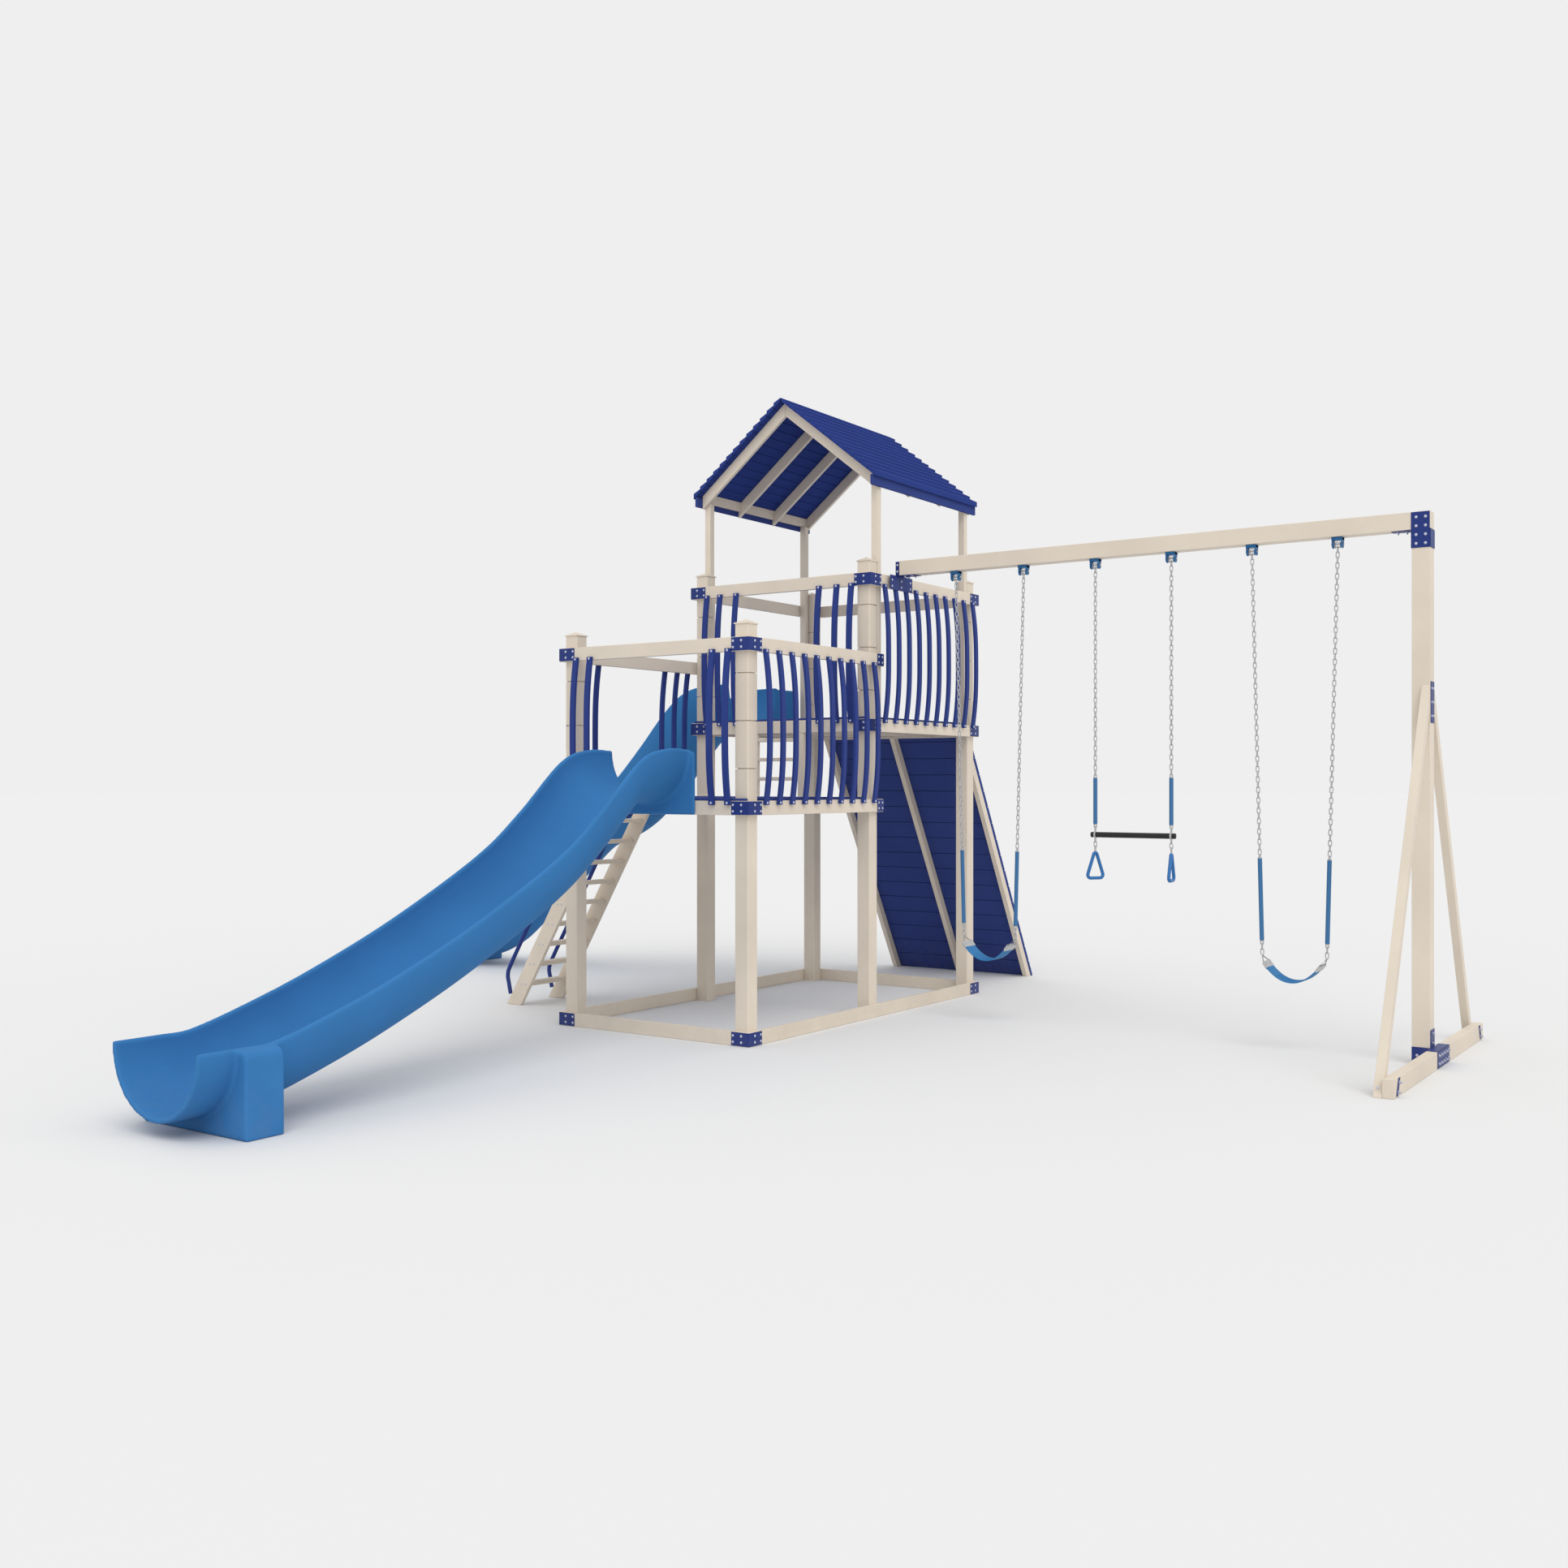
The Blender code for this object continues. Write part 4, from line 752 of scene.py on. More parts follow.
def make_ladder():
    low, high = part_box("ladder")
    face = high.x

    def climbing_edge(z):
        return low.x + LADDER_LEAN * z

    back_foot = low.x + LADDER_FOOT_WIDTH
    stringer = [(low.x, 0), (back_foot, 0), (face, (face - back_foot) / LADDER_LEAN), (face, high.z),
                (climbing_edge(high.z), high.z)]
    work = bmesh.new()
    for y in (low.y, high.y - STRINGER):
        prism(work, stringer, y, y + STRINGER, "y")
    piece("ladder_stringers", work, "almond", stands_for=("ladder",), bevel=0.004)
    treads, bolts = bmesh.new(), bmesh.new()
    width = TREAD_DEPTH / RIDGES
    for k in range(TREADS):
        z = FIRST_TREAD + TREAD_RISE * k
        x = climbing_edge(z) + (LADDER_FOOT_WIDTH - TREAD_DEPTH) / 2
        top = z + TREAD_THICKNESS / 2
        outline = [(x, z - TREAD_THICKNESS / 2)]
        for ridge in range(RIDGES):
            start = x + TREAD_DEPTH * ridge / RIDGES
            outline += [(start, top), (start + width * RIDGE_FLAT, top)]
            if ridge < RIDGES - 1:
                outline += [(start + width * part, top - TREAD_GROOVE) for part in (GROOVE_NEAR, GROOVE_FAR)]
        outline += [(x + TREAD_DEPTH, top), (x + TREAD_DEPTH, z - TREAD_THICKNESS / 2)]
        prism(treads, outline, low.y + STRINGER, high.y - STRINGER, "y")
        for y, way in ((low.y, -1), (high.y, 1)):
            for along in TREAD_BOLTS:
                bolt(bolts, (x + along, y, z), (0, way, 0), TREAD_BOLT_RADIUS)
    piece("ladder_treads", treads, "almond", bevel=0.001, sharp=25.0)
    clear = HANDRAIL_RADIUS / math.cos(math.atan(LADDER_LEAN))
    for name, y in (("near", low.y + STRINGER / 2), ("far", high.y - STRINGER / 2)):
        node = f"ladder_handrail_{name}"
        points = [(climbing_edge(z) + out - clear, z) for out, z in HANDRAIL_ROUTE]
        rail = bmesh.new()
        sweep(rail, [(p.x, y, p.y) for p in smooth_line(points, HANDRAIL_STEP)], HANDRAIL_RADIUS, 20)
        piece(f"{node}_tube", rail, "navy", stands_for=(node,), bevel=0.001)
        for z in HANDRAIL_BOLTS:
            bolt(bolts, (climbing_edge(z) - EASE, y, z), (-1, 0, LADDER_LEAN), HANDRAIL_BOLT_RADIUS)
    piece("ladder_bolts", bolts, "bolt")


STILE, DECK_TREADS = 0.05, 3


def make_deck_steps():
    low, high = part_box("deck_steps")
    work = bmesh.new()
    for x in (low.x, high.x - STILE):
        box(work, (x, low.y, low.z), (x + STILE, high.y, high.z))
    rise = (UPPER_RIM - LOWER_RIM) / (DECK_TREADS + 1)
    for k in range(DECK_TREADS):
        z = LOWER_RIM + DECK_ABOVE_RIM + rise * (k + 1)
        box(work, (low.x + STILE - 0.002, low.y + EASE, z - TREAD_THICKNESS),
            (high.x - STILE + 0.002, high.y - EASE, z))
    timber("deck_steps_ladder", work, "deck_steps")


RAMP_LEAN, RAMP_THICKNESS, RAMP_PLANKS, RAMP_SEAM = 0.568, 0.0414, 16, 0.004
# The core behind the planks stops short of their faces, ends and top
CORE_INSET, CORE_END, CORE_TOP = RAMP_THICKNESS * 0.2, 0.002, 0.01
RAMP_STRINGER_FOOT = 0.069


def make_ramp():
    low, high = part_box("climbing_panel")
    planks = bmesh.new()

    def slab(bottom, top, inset=0.0, end=0.0):
        """A leaning slab of the panel between two heights."""
        bottom_y, top_y = (high.y - RAMP_LEAN * z for z in (bottom, top))
        outline = [(bottom_y - inset, bottom), (top_y - inset, top),
                   (top_y - RAMP_THICKNESS + inset, top), (bottom_y - RAMP_THICKNESS + inset, bottom)]
        prism(planks, outline, low.x + end, high.x - end, "x")

    for k in range(RAMP_PLANKS):
        slab(high.z * k / RAMP_PLANKS, high.z * (k + 1) / RAMP_PLANKS - RAMP_SEAM)
    slab(0.0, high.z - CORE_TOP, CORE_INSET, CORE_END)
    piece("climbing_planks", planks, "navy_plank_painted_light", stands_for=("climbing_panel",), bevel=BOARD_EDGE)
    for side in ("left", "middle", "right"):
        node = f"climbing_stringer_{side}"
        low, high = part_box(node)
        wall, far_foot = low.y, high.y
        near_foot = far_foot - RAMP_STRINGER_FOOT
        outline = [(near_foot, 0), (far_foot, 0), (far_foot - RAMP_LEAN * high.z, high.z), (wall, high.z),
                   (wall, (near_foot - wall) / RAMP_LEAN)]
        work = bmesh.new()
        prism(work, outline, low.x, high.x, "x")
        timber(f"{node}_board", work, node, TIMBER_EDGE)


# ---- Swing frame ----

BRACE_LEAN, BRACE_WIDTH = 0.506, 0.0672
GROUND_BEAM_TOP = 0.10
SADDLE_REACH, SADDLE_GAP, SADDLE_LOW = 0.154, 0.0002, 0.004
SADDLE_STUDS, SADDLE_STUD_ROWS, UPRIGHT_STUDS = (-0.125, 0.125, 5), (0.03, 0.076), (0.125, 0.18)
CHEEK_BOLTS, CHEEK_BOLT_ROW = (0.03, 0.075), 0.055
STRAP_PLACES, STRAP_HALF, STRAP_LOW, STRAP_RISE = (0.06, 0.075), 0.018, 0.008, 0.09
STRAP_STUDS, LONG_STUD = (0.026, 0.074), 0.016
# How far below the braces' top the upper plate and its bolts are
BRACE_PLATE, BRACE_PLATE_INSET, BRACE_BOLTS, BRACE_BOLT_HALF = (0.22, -0.02), 0.008, (0.18, 0.10, 0.02), 0.024
BRACE_SCREW = (0.078, 0.012, 0.05)
RAIL_PLATE_GAP, TAB_WIDTH, TAB_RISE = 0.004, 0.030, 0.006
ARM_TAPER = 0.022


def make_swing_frame():
    boxed("swing_beam", "timber")
    boxed("swing_post", "timber")
    for name, facing in (("near", 1), ("far", -1)):
        node = f"swing_brace_{name}"
        low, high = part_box(node)
        foot, meet = (low.y, high.y) if facing > 0 else (high.y, low.y)
        inner = foot + facing * BRACE_WIDTH
        outline = [(foot, 0), (inner, 0),
                   (meet, abs(meet - inner) / BRACE_LEAN), (meet, abs(meet - foot) / BRACE_LEAN)]
        work = bmesh.new()
        prism(work, outline, low.x, high.x, "x")
        timber(f"{node}_board", work, node, TIMBER_EDGE)
    make_swing_foot()
    make_beam_brackets()


def make_swing_foot():
    """The ground beam, its saddle round the post's foot, the braces' straps and the plate above them."""
    post_low, post_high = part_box("swing_post")
    low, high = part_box("swing_ground_beam")
    beam_left, beam_right = post_high.x + STAND_OFF, high.x - PLATE
    beam = bmesh.new()
    box(beam, (beam_left, low.y, 0.0), (beam_right, high.y, GROUND_BEAM_TOP))
    timber("swing_ground_beam_timber", beam, "swing_ground_beam", TIMBER_EDGE)
    plates, bolts = bmesh.new(), bmesh.new()
    near, far, saddle_top = SWING_Y - SADDLE_REACH, SWING_Y + SADDLE_REACH, GROUND_BEAM_TOP + PLATE
    box(plates, (beam_right + SADDLE_GAP, near, SADDLE_LOW), (high.x, far, saddle_top))
    box(plates, (beam_left, near, GROUND_BEAM_TOP + SADDLE_GAP), (high.x, far, saddle_top))
    box(plates, (beam_left, post_low.y, GROUND_BEAM_TOP), (beam_left + PLATE, post_high.y, high.z))
    for y_in, y_out in ((post_low.y - PLATE_OUT, post_low.y - STAND_OFF),
                        (post_high.y + STAND_OFF, post_high.y + PLATE_OUT)):
        box(plates, (post_low.x, y_in, SADDLE_LOW), (beam_left + EASE, y_out, saddle_top))
    for y in spread(*SADDLE_STUDS):
        for z in SADDLE_STUD_ROWS:
            stud(bolts, (high.x, SWING_Y + y, z), (1, 0, 0))
    for x in CHEEK_BOLTS:
        bolt(bolts, (post_low.x + x, post_low.y - PLATE_OUT, CHEEK_BOLT_ROW), (0, -1, 0))
    for z in UPRIGHT_STUDS:
        stud(bolts, (beam_left + PLATE, SWING_Y, z), (1, 0, 0))
    for y, facing in ((low.y + STRAP_PLACES[0], 1), (high.y - STRAP_PLACES[1], -1)):
        tilt = facing * BRACE_LEAN
        top_y, top_z = y + tilt * STRAP_RISE, STRAP_LOW + STRAP_RISE
        strap = [(y - STRAP_HALF, STRAP_LOW), (y + STRAP_HALF, STRAP_LOW),
                 (top_y + STRAP_HALF, top_z), (top_y - STRAP_HALF, top_z)]
        prism(plates, strap, beam_right + STAND_OFF, beam_right + PLATE_OUT, "x")
        for z in STRAP_STUDS:
            stud(bolts, (beam_right + PLATE_OUT, y + tilt * z, z), (1, 0, 0), LONG_STUD)
    brace_low, brace_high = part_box("swing_brace_near")
    x, y, z = BRACE_SCREW
    bolt(bolts, (post_low.x + x, brace_low.y + y, z), (0, -1, 0), 0.006)
    plate_low, plate_high = (brace_high.z - below for below in BRACE_PLATE)
    box(plates, (post_high.x + STAND_OFF, post_low.y + BRACE_PLATE_INSET, plate_low),
        (post_high.x + PLATE_OUT, post_high.y - BRACE_PLATE_INSET, plate_high))
    for below in BRACE_BOLTS:
        for y in (SWING_Y - BRACE_BOLT_HALF, SWING_Y + BRACE_BOLT_HALF):
            bolt(bolts, (post_high.x + PLATE_OUT, y, brace_high.z - below), (1, 0, 0))
    fittings("swing_foot", plates, bolts, "plates")


def make_beam_brackets():
    plates, bolts = bmesh.new(), bmesh.new()
    low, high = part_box("beam_tower_bracket")
    rail_face = low.x + BOARD + BAR_THICKNESS + RAIL_PLATE_GAP
    shelf_low, shelf_high = UPPER_RAIL + STAND_OFF, BEAM_LOW.z - STAND_OFF
    box(plates, (rail_face, low.y, low.z), (rail_face + PLATE, high.y, shelf_high))
    box(plates, (low.x, BEAM_LOW.y, shelf_low), (high.x, BEAM_HIGH.y, shelf_high))
    box(plates, (BEAM_LOW.x - PLATE_OUT, BEAM_LOW.y, shelf_low),
        (BEAM_LOW.x - STAND_OFF, BEAM_HIGH.y, high.z))
    for y in spread(low.y + 0.028, high.y - 0.028, 3):
        for z in (low.z + 0.024, low.z + 0.068):
            bolt(bolts, (rail_face + PLATE, y, z), (1, 0, 0))
    tab_left, tab_right = BEAM_LOW.x - TAB_WIDTH, BEAM_LOW.x - STAND_OFF
    box(plates, (tab_left, BEAM_LOW.y, shelf_low), (tab_right, BEAM_LOW.y + PLATE, high.z + TAB_RISE))
    for z in (BEAM_LOW.z + 0.028, BEAM_LOW.z + 0.074):
        bolt(bolts, ((tab_left + tab_right) / 2, BEAM_LOW.y, z), (0, -1, 0))
    for x in (BEAM_LOW.x + 0.035, BEAM_LOW.x + 0.09):
        for y in (SWING_Y - 0.028, SWING_Y + 0.028):
            stud(bolts, (x, y, shelf_low), (0, 0, -1))
    piece("beam_tower_plates", plates, "bracket", stands_for=("beam_tower_bracket",), bevel=PLATE_EDGE)
    piece("beam_tower_bolts", bolts, "bolt")
    plates, bolts = bmesh.new(), bmesh.new()
    low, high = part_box("beam_post_bracket")
    post_left = BEAM_HIGH.x - POST
    inner, outer = post_left - PLATE_OUT, BEAM_HIGH.x + PLATE_OUT
    for y_in, y_out in ((BEAM_LOW.y - PLATE_OUT, BEAM_LOW.y - STAND_OFF),
                        (BEAM_HIGH.y + STAND_OFF, BEAM_HIGH.y + PLATE_OUT)):
        box(plates, (inner, y_in, low.z), (BEAM_HIGH.x - 0.002, y_out, high.z))
        box(plates, (BEAM_HIGH.x - 0.004, y_in, low.z), (outer, y_out, shelf_high))
    box(plates, (outer - PLATE, low.y, low.z), (outer, high.y, shelf_high))
    box(plates, (inner, low.y, low.z), (inner + PLATE, high.y, shelf_high))
    arm = [(low.x, BEAM_LOW.y + ARM_TAPER), (low.x, BEAM_HIGH.y - ARM_TAPER),
           (inner + PLATE, BEAM_HIGH.y), (inner + PLATE, BEAM_LOW.y)]
    prism(plates, arm, shelf_high - PLATE, shelf_high, "z")
    for x in (post_left + 0.025, BEAM_HIGH.x - 0.025):
        for z in spread(low.z + 0.025, high.z - 0.03, 4):
            bolt(bolts, (x, BEAM_LOW.y - PLATE_OUT, z), (0, -1, 0))
    for x in (low.x + 0.035, low.x + 0.085):
        stud(bolts, (x, SWING_Y, shelf_high - PLATE), (0, 0, -1), LONG_STUD)
    for z in (low.z + 0.025, low.z + 0.075):
        stud(bolts, (inner, SWING_Y, z), (-1, 0, 0))
    piece("beam_post_plates", plates, "bracket", stands_for=("beam_post_bracket",), bevel=PLATE_EDGE)
    piece("beam_post_bolts", bolts, "bolt")


# ---- Hangers, chains and swings ----

HANGERS = 6
PIN_RADIUS = 0.005
LINK_PITCH, LINK_HALF_WIDTH, WIRE = 0.032, 0.0092, 0.0033
HOUSING_HALF, HOUSING_WALL, HOUSING_TOP = 0.031, 0.008, 0.018
EAR_HALF, EAR_DROP = 0.024, 0.022
SLEEVE_RADIUS, SLEEVE_OVERLAP = 0.0135, 0.01
SWING_SLEEVE, TRAPEZE_SLEEVE = (1.17, 0.665), (1.668, 1.366)
CLEVIS_IN, CLEVIS_OUT, CLEVIS_HALF = 0.0125, 0.0155, 0.010
SEAT_GRIP = 0.0035
BELT_ENDS, BELT_INSET, BELT_THICKNESS, BELT_WIDTH = 0.53, 0.028, 0.008, 0.14
BELT_CURVE, BELT_STEPS = 2.1, 28
RIBS, RIB_HALF, RIB_HEIGHTS, RIB_TRIM = (-0.045, 0.045, 7), 0.0025, (-0.0012, 0.0014), 6
CLAMP, CLAMP_OVERHANG = 0.005, 0.003
BAR_LIFT, BAR_RADIUS = 0.035, 0.018
RING_TUBE, RING_WIDE, RING_NARROW, RING_HALF, RING_TOP = 0.011, 0.022, 0.012, 0.057, 1.188


def hanger_x(index):
    return centre(f"hanger_{index + 1}")[0]


def make_hangers():
    for index in range(HANGERS):
        node = f"hanger_{index + 1}"
        low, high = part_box(node)
        x = hanger_x(index)
        work, pin = bmesh.new(), bmesh.new()
        box(work, (x - HOUSING_HALF, low.y, high.z - HOUSING_TOP), (x + HOUSING_HALF, high.y, high.z))
        ear_low = PIVOT_Z - 0.004
        for x_side in (-1, 1):
            xs = sided(x_side, HOUSING_HALF - HOUSING_WALL, HOUSING_HALF, x)
            ear = [(SWING_Y + EAR_HALF, high.z - 0.002)]
            ear += [(SWING_Y + EAR_HALF * math.cos(a), ear_low + EAR_DROP * math.sin(a))
                    for a in (-math.pi * k / 12 for k in range(13))]
            ear += [(SWING_Y - EAR_HALF, high.z - 0.002)]
            prism(work, ear, xs[0], xs[1], "x")
        piece(f"{node}_housing", work, "housing", stands_for=(node,), bevel=0.002)
        reach = HOUSING_HALF + 0.002
        rod(pin, (x - reach, SWING_Y, PIVOT_Z), (x + reach, SWING_Y, PIVOT_Z), PIN_RADIUS)
        for x_side in (-1, 1):
            head = x + x_side * HOUSING_HALF
            rod(pin, (head, SWING_Y, PIVOT_Z), (head + x_side * 0.006, SWING_Y, PIVOT_Z), 0.0085, 6)
        piece(f"{node}_pin", pin, "steel", bevel=0.0006)


def make_clevis(name, body, x):
    """The galvanised stirrup that turns on a hanger's pin and holds the first link."""
    work = bmesh.new()
    for x_side in (-1, 1):
        xs = sided(x_side, CLEVIS_IN, CLEVIS_OUT, x)
        box(work, (xs[0], SWING_Y - CLEVIS_HALF, PIVOT_Z - 0.024),
            (xs[1], SWING_Y + CLEVIS_HALF, PIVOT_Z + 0.011))
    box(work, (x - CLEVIS_OUT, SWING_Y - CLEVIS_HALF, PIVOT_Z + 0.009),
        (x + CLEVIS_OUT, SWING_Y + CLEVIS_HALF, PIVOT_Z + 0.012))
    rod(work, (x - 0.0185, SWING_Y, PIVOT_Z - 0.019), (x + 0.0185, SWING_Y, PIVOT_Z - 0.019), 0.0035, 12)
    piece(f"{name}_clevis", work, "steel", body, bevel=PLATE_EDGE)


def chain_link(work, middle, along, flat):
    """One oval link: along is its long way, flat the other way in its plane."""
    bends = 6
    straight = LINK_PITCH / 2 + WIRE - LINK_HALF_WIDTH
    points = []
    for end in (1, -1):
        for k in range(bends + 1):
            angle = math.pi * k / bends
            across = math.cos(angle) * LINK_HALF_WIDTH * end
            reach = (math.sin(angle) * LINK_HALF_WIDTH + straight) * end
            points.append(middle + flat * across + along * reach)
    sweep(work, points, WIRE, 6, closed=True)


def run_chain(work, top, foot, first_turn=0):
    """Links from one point to another, each turned a quarter from the last."""
    top, foot = Vector(top), Vector(foot)
    along = (foot - top).normalized()
    count = max(1, round((foot - top).length / LINK_PITCH))
    step = (foot - top).length / count
    fore = Vector((0, 1, 0))
    across = along.cross(fore).normalized()
    for k in range(count):
        flat = fore if (k + first_turn) % 2 == 0 else across
        chain_link(work, top + along * step * (k + 0.5), along, flat)


def make_chain(name, body, top, foot, sleeve):
    """A chain from a hanger's pin with a plastic grip sleeve and a light band at each of its ends."""
    top, foot = Vector(top), Vector(foot)
    sleeve_high, sleeve_low = sleeve

    def at(z):
        return top + (foot - top) * ((top.z - z) / (top.z - foot.z))

    chain = bmesh.new()
    make_clevis(name, body, top.x)
    run_chain(chain, top - Vector((0, 0, 0.0155)), at(sleeve_high - SLEEVE_OVERLAP))
    run_chain(chain, at(sleeve_low + SLEEVE_OVERLAP), foot, 1)
    piece(f"{name}_links", chain, "steel", body, stands_for=(name,))
    grip, bands = bmesh.new(), bmesh.new()
    rod(grip, at(sleeve_high), at(sleeve_low), SLEEVE_RADIUS, 20)
    piece(f"{name}_sleeve", grip, "grip", body, bevel=0.002)
    for z in (sleeve_high + 0.005, sleeve_low - 0.002):
        rod(bands, at(z + 0.004), at(z - 0.007), SLEEVE_RADIUS - 0.002, 20)
    piece(f"{name}_bands", bands, "steel", body, bevel=PLATE_EDGE)


def make_belt_swing(side, first):
    swing, seat = f"{side}_swing", f"{side}_seat"
    seat_low, seat_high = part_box(f"{side}_swing_seat")
    foot_z = seat_high.z + 0.002
    feet = (seat_low.x + SEAT_GRIP, seat_high.x - SEAT_GRIP)
    for index, end, foot_x in zip((first, first + 1), ("inner", "outer"), feet):
        make_chain(f"{side}_swing_chain_{end}", swing, (hanger_x(index), SWING_Y, PIVOT_Z),
                   (foot_x, SWING_Y, foot_z), SWING_SLEEVE)
    middle = (seat_low.x + seat_high.x) / 2
    half = (seat_high.x - seat_low.x) / 2 - BELT_INSET
    bottom = seat_low.z
    under = [(middle + half * t, bottom + (BELT_ENDS - bottom) * abs(t) ** BELT_CURVE)
             for t in spread(-1, 1, BELT_STEPS + 1)]
    over = [(x, z + BELT_THICKNESS) for x, z in under]
    belt = bmesh.new()
    band(belt, under, over, SWING_Y - BELT_WIDTH / 2, SWING_Y + BELT_WIDTH / 2, "y")
    ridge = [[(x, z + lift) for x, z in over[RIB_TRIM:-RIB_TRIM]] for lift in RIB_HEIGHTS]
    for rib in spread(*RIBS):
        band(belt, *ridge, SWING_Y + rib - RIB_HALF, SWING_Y + rib + RIB_HALF, "y")
    piece(f"{side}_belt", belt, "belt", seat, stands_for=(f"{side}_swing_seat",), bevel=0.0012, sharp=60.0)
    metal = bmesh.new()
    clamp_half = BELT_WIDTH / 2 + CLAMP_OVERHANG
    for edge in (slice(0, 3), slice(-3, None)):
        lower = [(x, z - CLAMP) for x, z in under[edge]]
        upper = [(x, z + CLAMP) for x, z in over[edge]]
        band(metal, lower, upper, SWING_Y - clamp_half, SWING_Y + clamp_half, "y")
        rivet_x, rivet_z = upper[1]
        for y in (SWING_Y - 0.04, SWING_Y + 0.04):
            rod(metal, (rivet_x, y, rivet_z - 0.002), (rivet_x, y, rivet_z + 0.004), 0.005, 12)
    for x_side in (-1, 1):
        end_x = middle + x_side * (half - 0.003)
        corner = BELT_WIDTH / 2 - 0.008
        tip = (middle + x_side * (half + 0.024), SWING_Y, seat_high.z - 0.004)
        corners = [(end_x, SWING_Y + way * corner, BELT_ENDS + BELT_THICKNESS / 2) for way in (-1, 1)]
        sweep(metal, [tip, *corners], 0.004, 10, closed=True)
    piece(f"{side}_seat_hardware", metal, "steel", seat)


def make_trapeze():
    bar_low, bar_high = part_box("trapeze_bar")
    bar_z = bar_low.z + BAR_LIFT
    bar, bands = bmesh.new(), bmesh.new()
    rod(bar, (bar_low.x, SWING_Y, bar_z), (bar_high.x, SWING_Y, bar_z), BAR_RADIUS, 28)
    piece("trapeze_bar_tube", bar, "black", "trapeze", stands_for=("trapeze_bar",), bevel=0.002)
    ring_pivots = {j["name"]: j["pos_m"] for j in frame["joints"]}
    for name, index, turn in (("inner", 2, 55.0), ("outer", 3, 95.0)):
        x = hanger_x(index)
        make_chain(f"trapeze_chain_{name}", "trapeze", (x, SWING_Y, PIVOT_Z),
                   (x, SWING_Y, bar_z + BAR_RADIUS), TRAPEZE_SLEEVE)
        rod(bands, (x - 0.006, SWING_Y, bar_z), (x + 0.006, SWING_Y, bar_z), BAR_RADIUS + 0.0015, 28)
        pivot_z = ring_pivots[f"ring_{name}_pivot"][2]
        chain_link(bands, Vector((x, SWING_Y, pivot_z + 0.010)), Vector((0, 0, 1)), Vector((0, 1, 0)))
        make_grip_ring(name, x, pivot_z, turn)
    piece("trapeze_bar_bands", bands, "steel", "trapeze")


def make_grip_ring(name, x, pivot_z, turn):
    """A rounded triangular grip on one link."""
    bottom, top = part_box(f"trapeze_ring_{name}")[0].z + RING_TUBE, RING_TOP - RING_TUBE
    outline = []
    for (cx, cz), radius, first, last in (((0.0, top - RING_NARROW), RING_NARROW, 20, 160),
                                          ((RING_WIDE - RING_HALF, bottom + RING_WIDE), RING_WIDE, 160, 270),
                                          ((RING_HALF - RING_WIDE, bottom + RING_WIDE), RING_WIDE, 270, 380)):
        for angle in spread(first, last, 12):
            turned = math.radians(angle)
            outline.append((cx + radius * math.cos(turned), cz + radius * math.sin(turned)))
    along = Vector((math.cos(math.radians(turn)), math.sin(math.radians(turn)), 0))
    ring, link = bmesh.new(), bmesh.new()
    axis = Vector((x, SWING_Y, 0))
    sweep(ring, [axis + along * a + Vector((0, 0, z)) for a, z in outline], RING_TUBE, 16, closed=True)
    piece(f"grip_ring_{name}", ring, "ring", f"ring_{name}", stands_for=(f"trapeze_ring_{name}",))
    chain_link(link, Vector((x, SWING_Y, pivot_z - 0.022)), Vector((0, 0, 1)), Vector((1, 0, 0)))
    chain_link(link, Vector((x, SWING_Y, pivot_z - 0.052)), Vector((0, 0, 1)), Vector((0, 1, 0)))
    piece(f"grip_ring_{name}_links", link, "steel", f"ring_{name}")


# ---- Stage ----

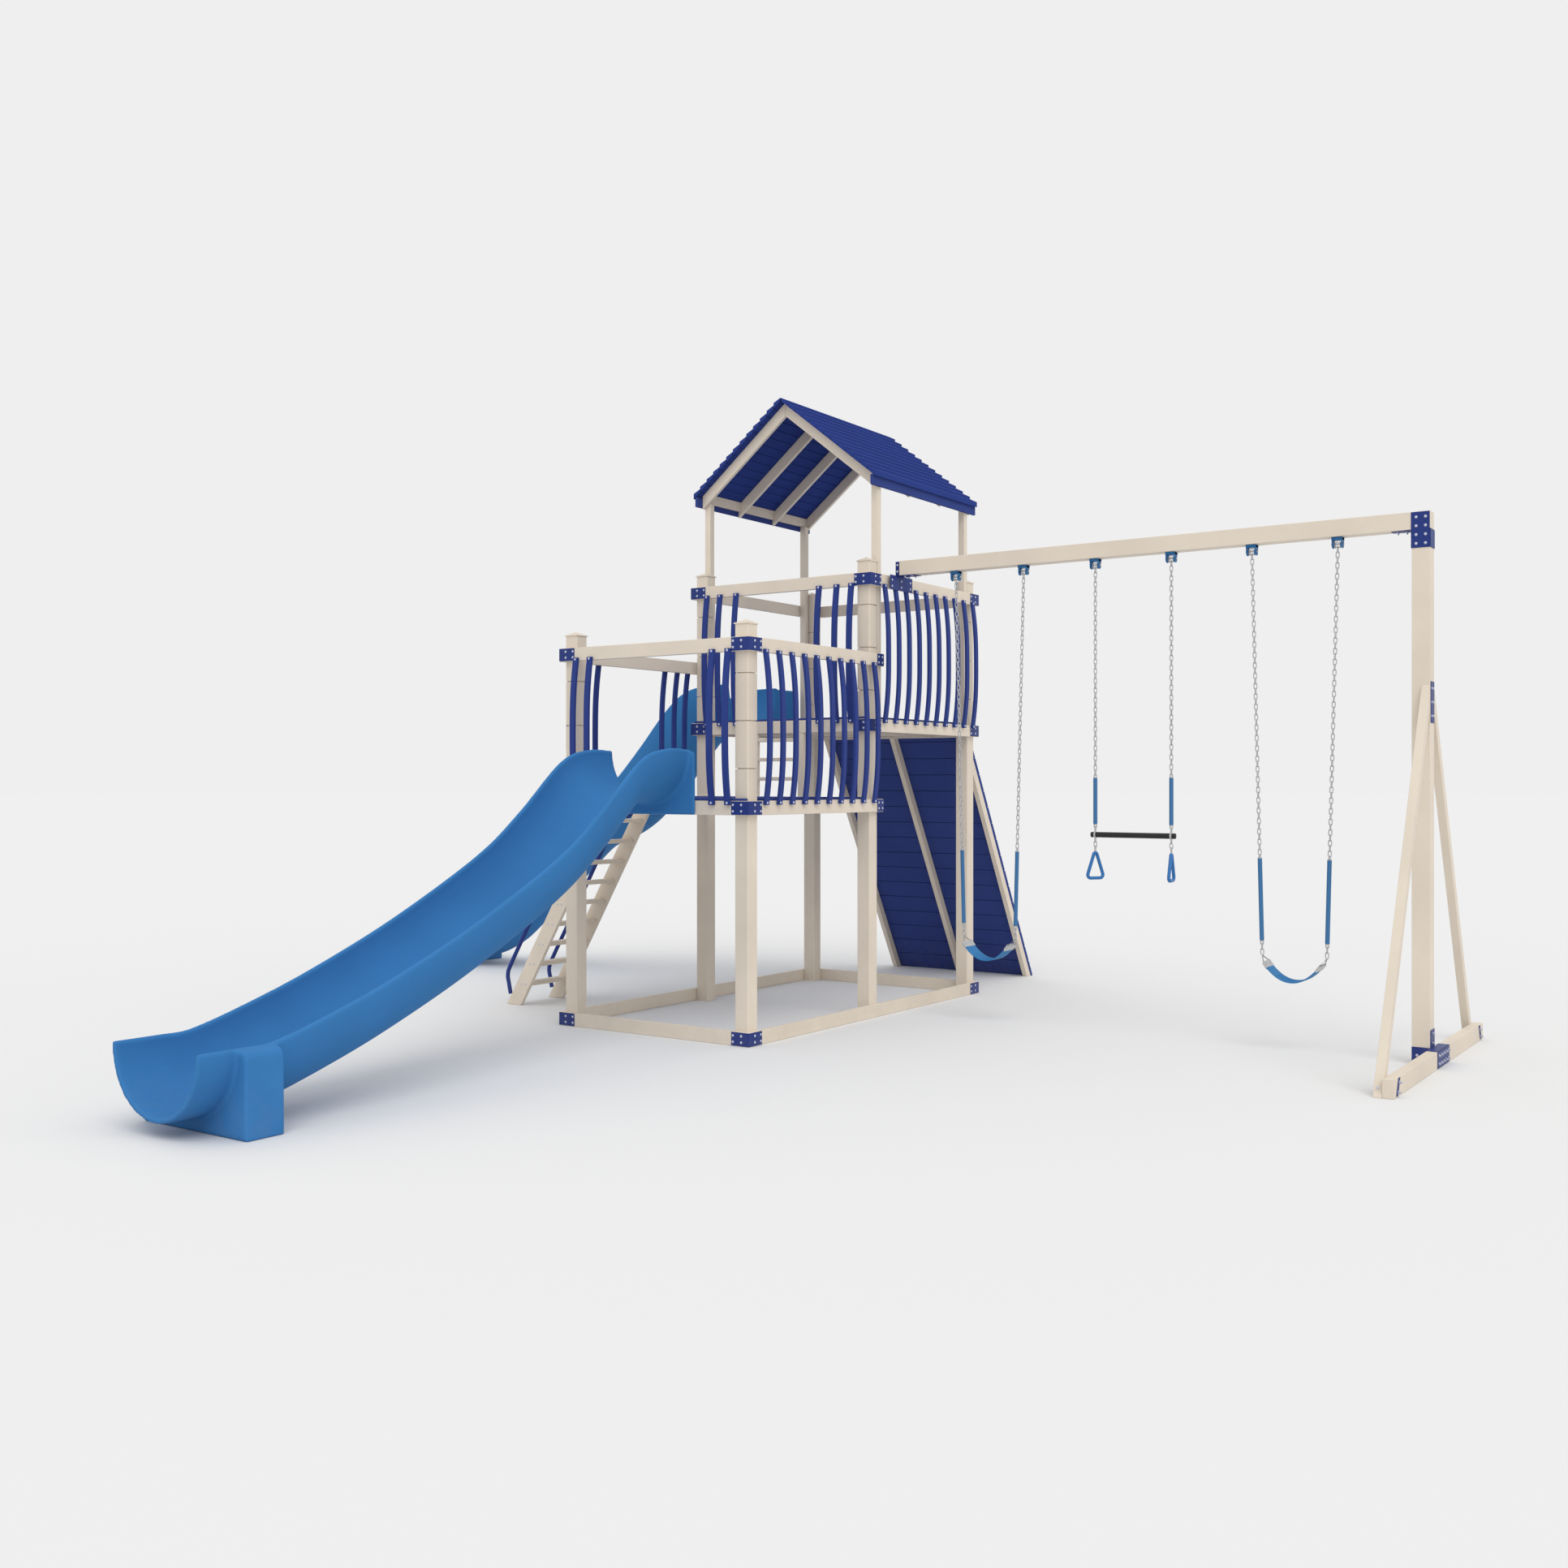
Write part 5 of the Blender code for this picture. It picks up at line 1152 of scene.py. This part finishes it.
BACKDROP = 0.863
FLOOR_COLOUR, FLOOR_ROUGHNESS, FLOOR_SIZE, FLOOR_DROP = (0.755, 0.758, 0.763, 1.0), 0.95, 250.0, 0.0005
SUN_POWER, SUN_COLOUR, SUN_SPREAD, SUN_TILT, SUN_TURN = 1.15, (1.0, 0.985, 0.955), 45, 38, 48
CAMERA_PLACE, CAMERA_TURN, FOCAL_LENGTH = (6.387, -7.690, 1.629), 34.78, 35.29


def make_stage():
    floor = bmesh.new()
    bmesh.ops.create_grid(floor, x_segments=1, y_segments=1, size=FLOOR_SIZE)
    mesh = bpy.data.meshes.new("floor")
    floor.to_mesh(mesh)
    floor.free()
    ground = bpy.data.objects.new("floor", mesh)
    ground.location.z = -FLOOR_DROP
    bpy.context.scene.collection.objects.link(ground)
    pale = bpy.data.materials.new("pale_floor")
    pale.use_nodes = True
    shader = pale.node_tree.nodes["Principled BSDF"]
    shader.inputs["Base Color"].default_value = FLOOR_COLOUR
    shader.inputs["Roughness"].default_value = FLOOR_ROUGHNESS
    shader.inputs["Specular IOR Level"].default_value = 0.0
    mesh.materials.append(pale)
    world = bpy.data.worlds.new("studio")
    world.use_nodes = True
    world.node_tree.nodes["Background"].inputs["Color"].default_value = (BACKDROP, BACKDROP, BACKDROP, 1.0)
    bpy.context.scene.world = world
    light = bpy.data.lights.new("key", "SUN")
    light.energy = SUN_POWER
    light.angle = math.radians(SUN_SPREAD)
    light.color = SUN_COLOUR
    key = bpy.data.objects.new("key", light)
    key.rotation_euler = (math.radians(SUN_TILT), 0.0, math.radians(SUN_TURN))
    bpy.context.scene.collection.objects.link(key)
    lens = bpy.data.cameras.new("camera")
    lens.lens = FOCAL_LENGTH
    camera = bpy.data.objects.new("camera", lens)
    camera.location = CAMERA_PLACE
    camera.rotation_euler = (math.radians(90), 0.0, math.radians(CAMERA_TURN))
    bpy.context.scene.collection.objects.link(camera)
    bpy.context.scene.camera = camera
    bpy.context.scene.view_settings.view_transform = "Standard"


make_posts()
make_base()
make_deck("lower_deck", LOWER_RIM, LOWER_FRONT, LOWER_END, (FRONT_POST_Y,), False)
make_deck("upper_deck", UPPER_RIM, UPPER_FRONT, UPPER_BACK, (MID_POST_Y, REAR_POST_Y), True)
make_guards()
make_roof()
make_slides()
make_ladder()
make_deck_steps()
make_ramp()
make_swing_frame()
make_hangers()
make_belt_swing("left", 0)
make_trapeze()
make_belt_swing("right", 4)
make_stage()
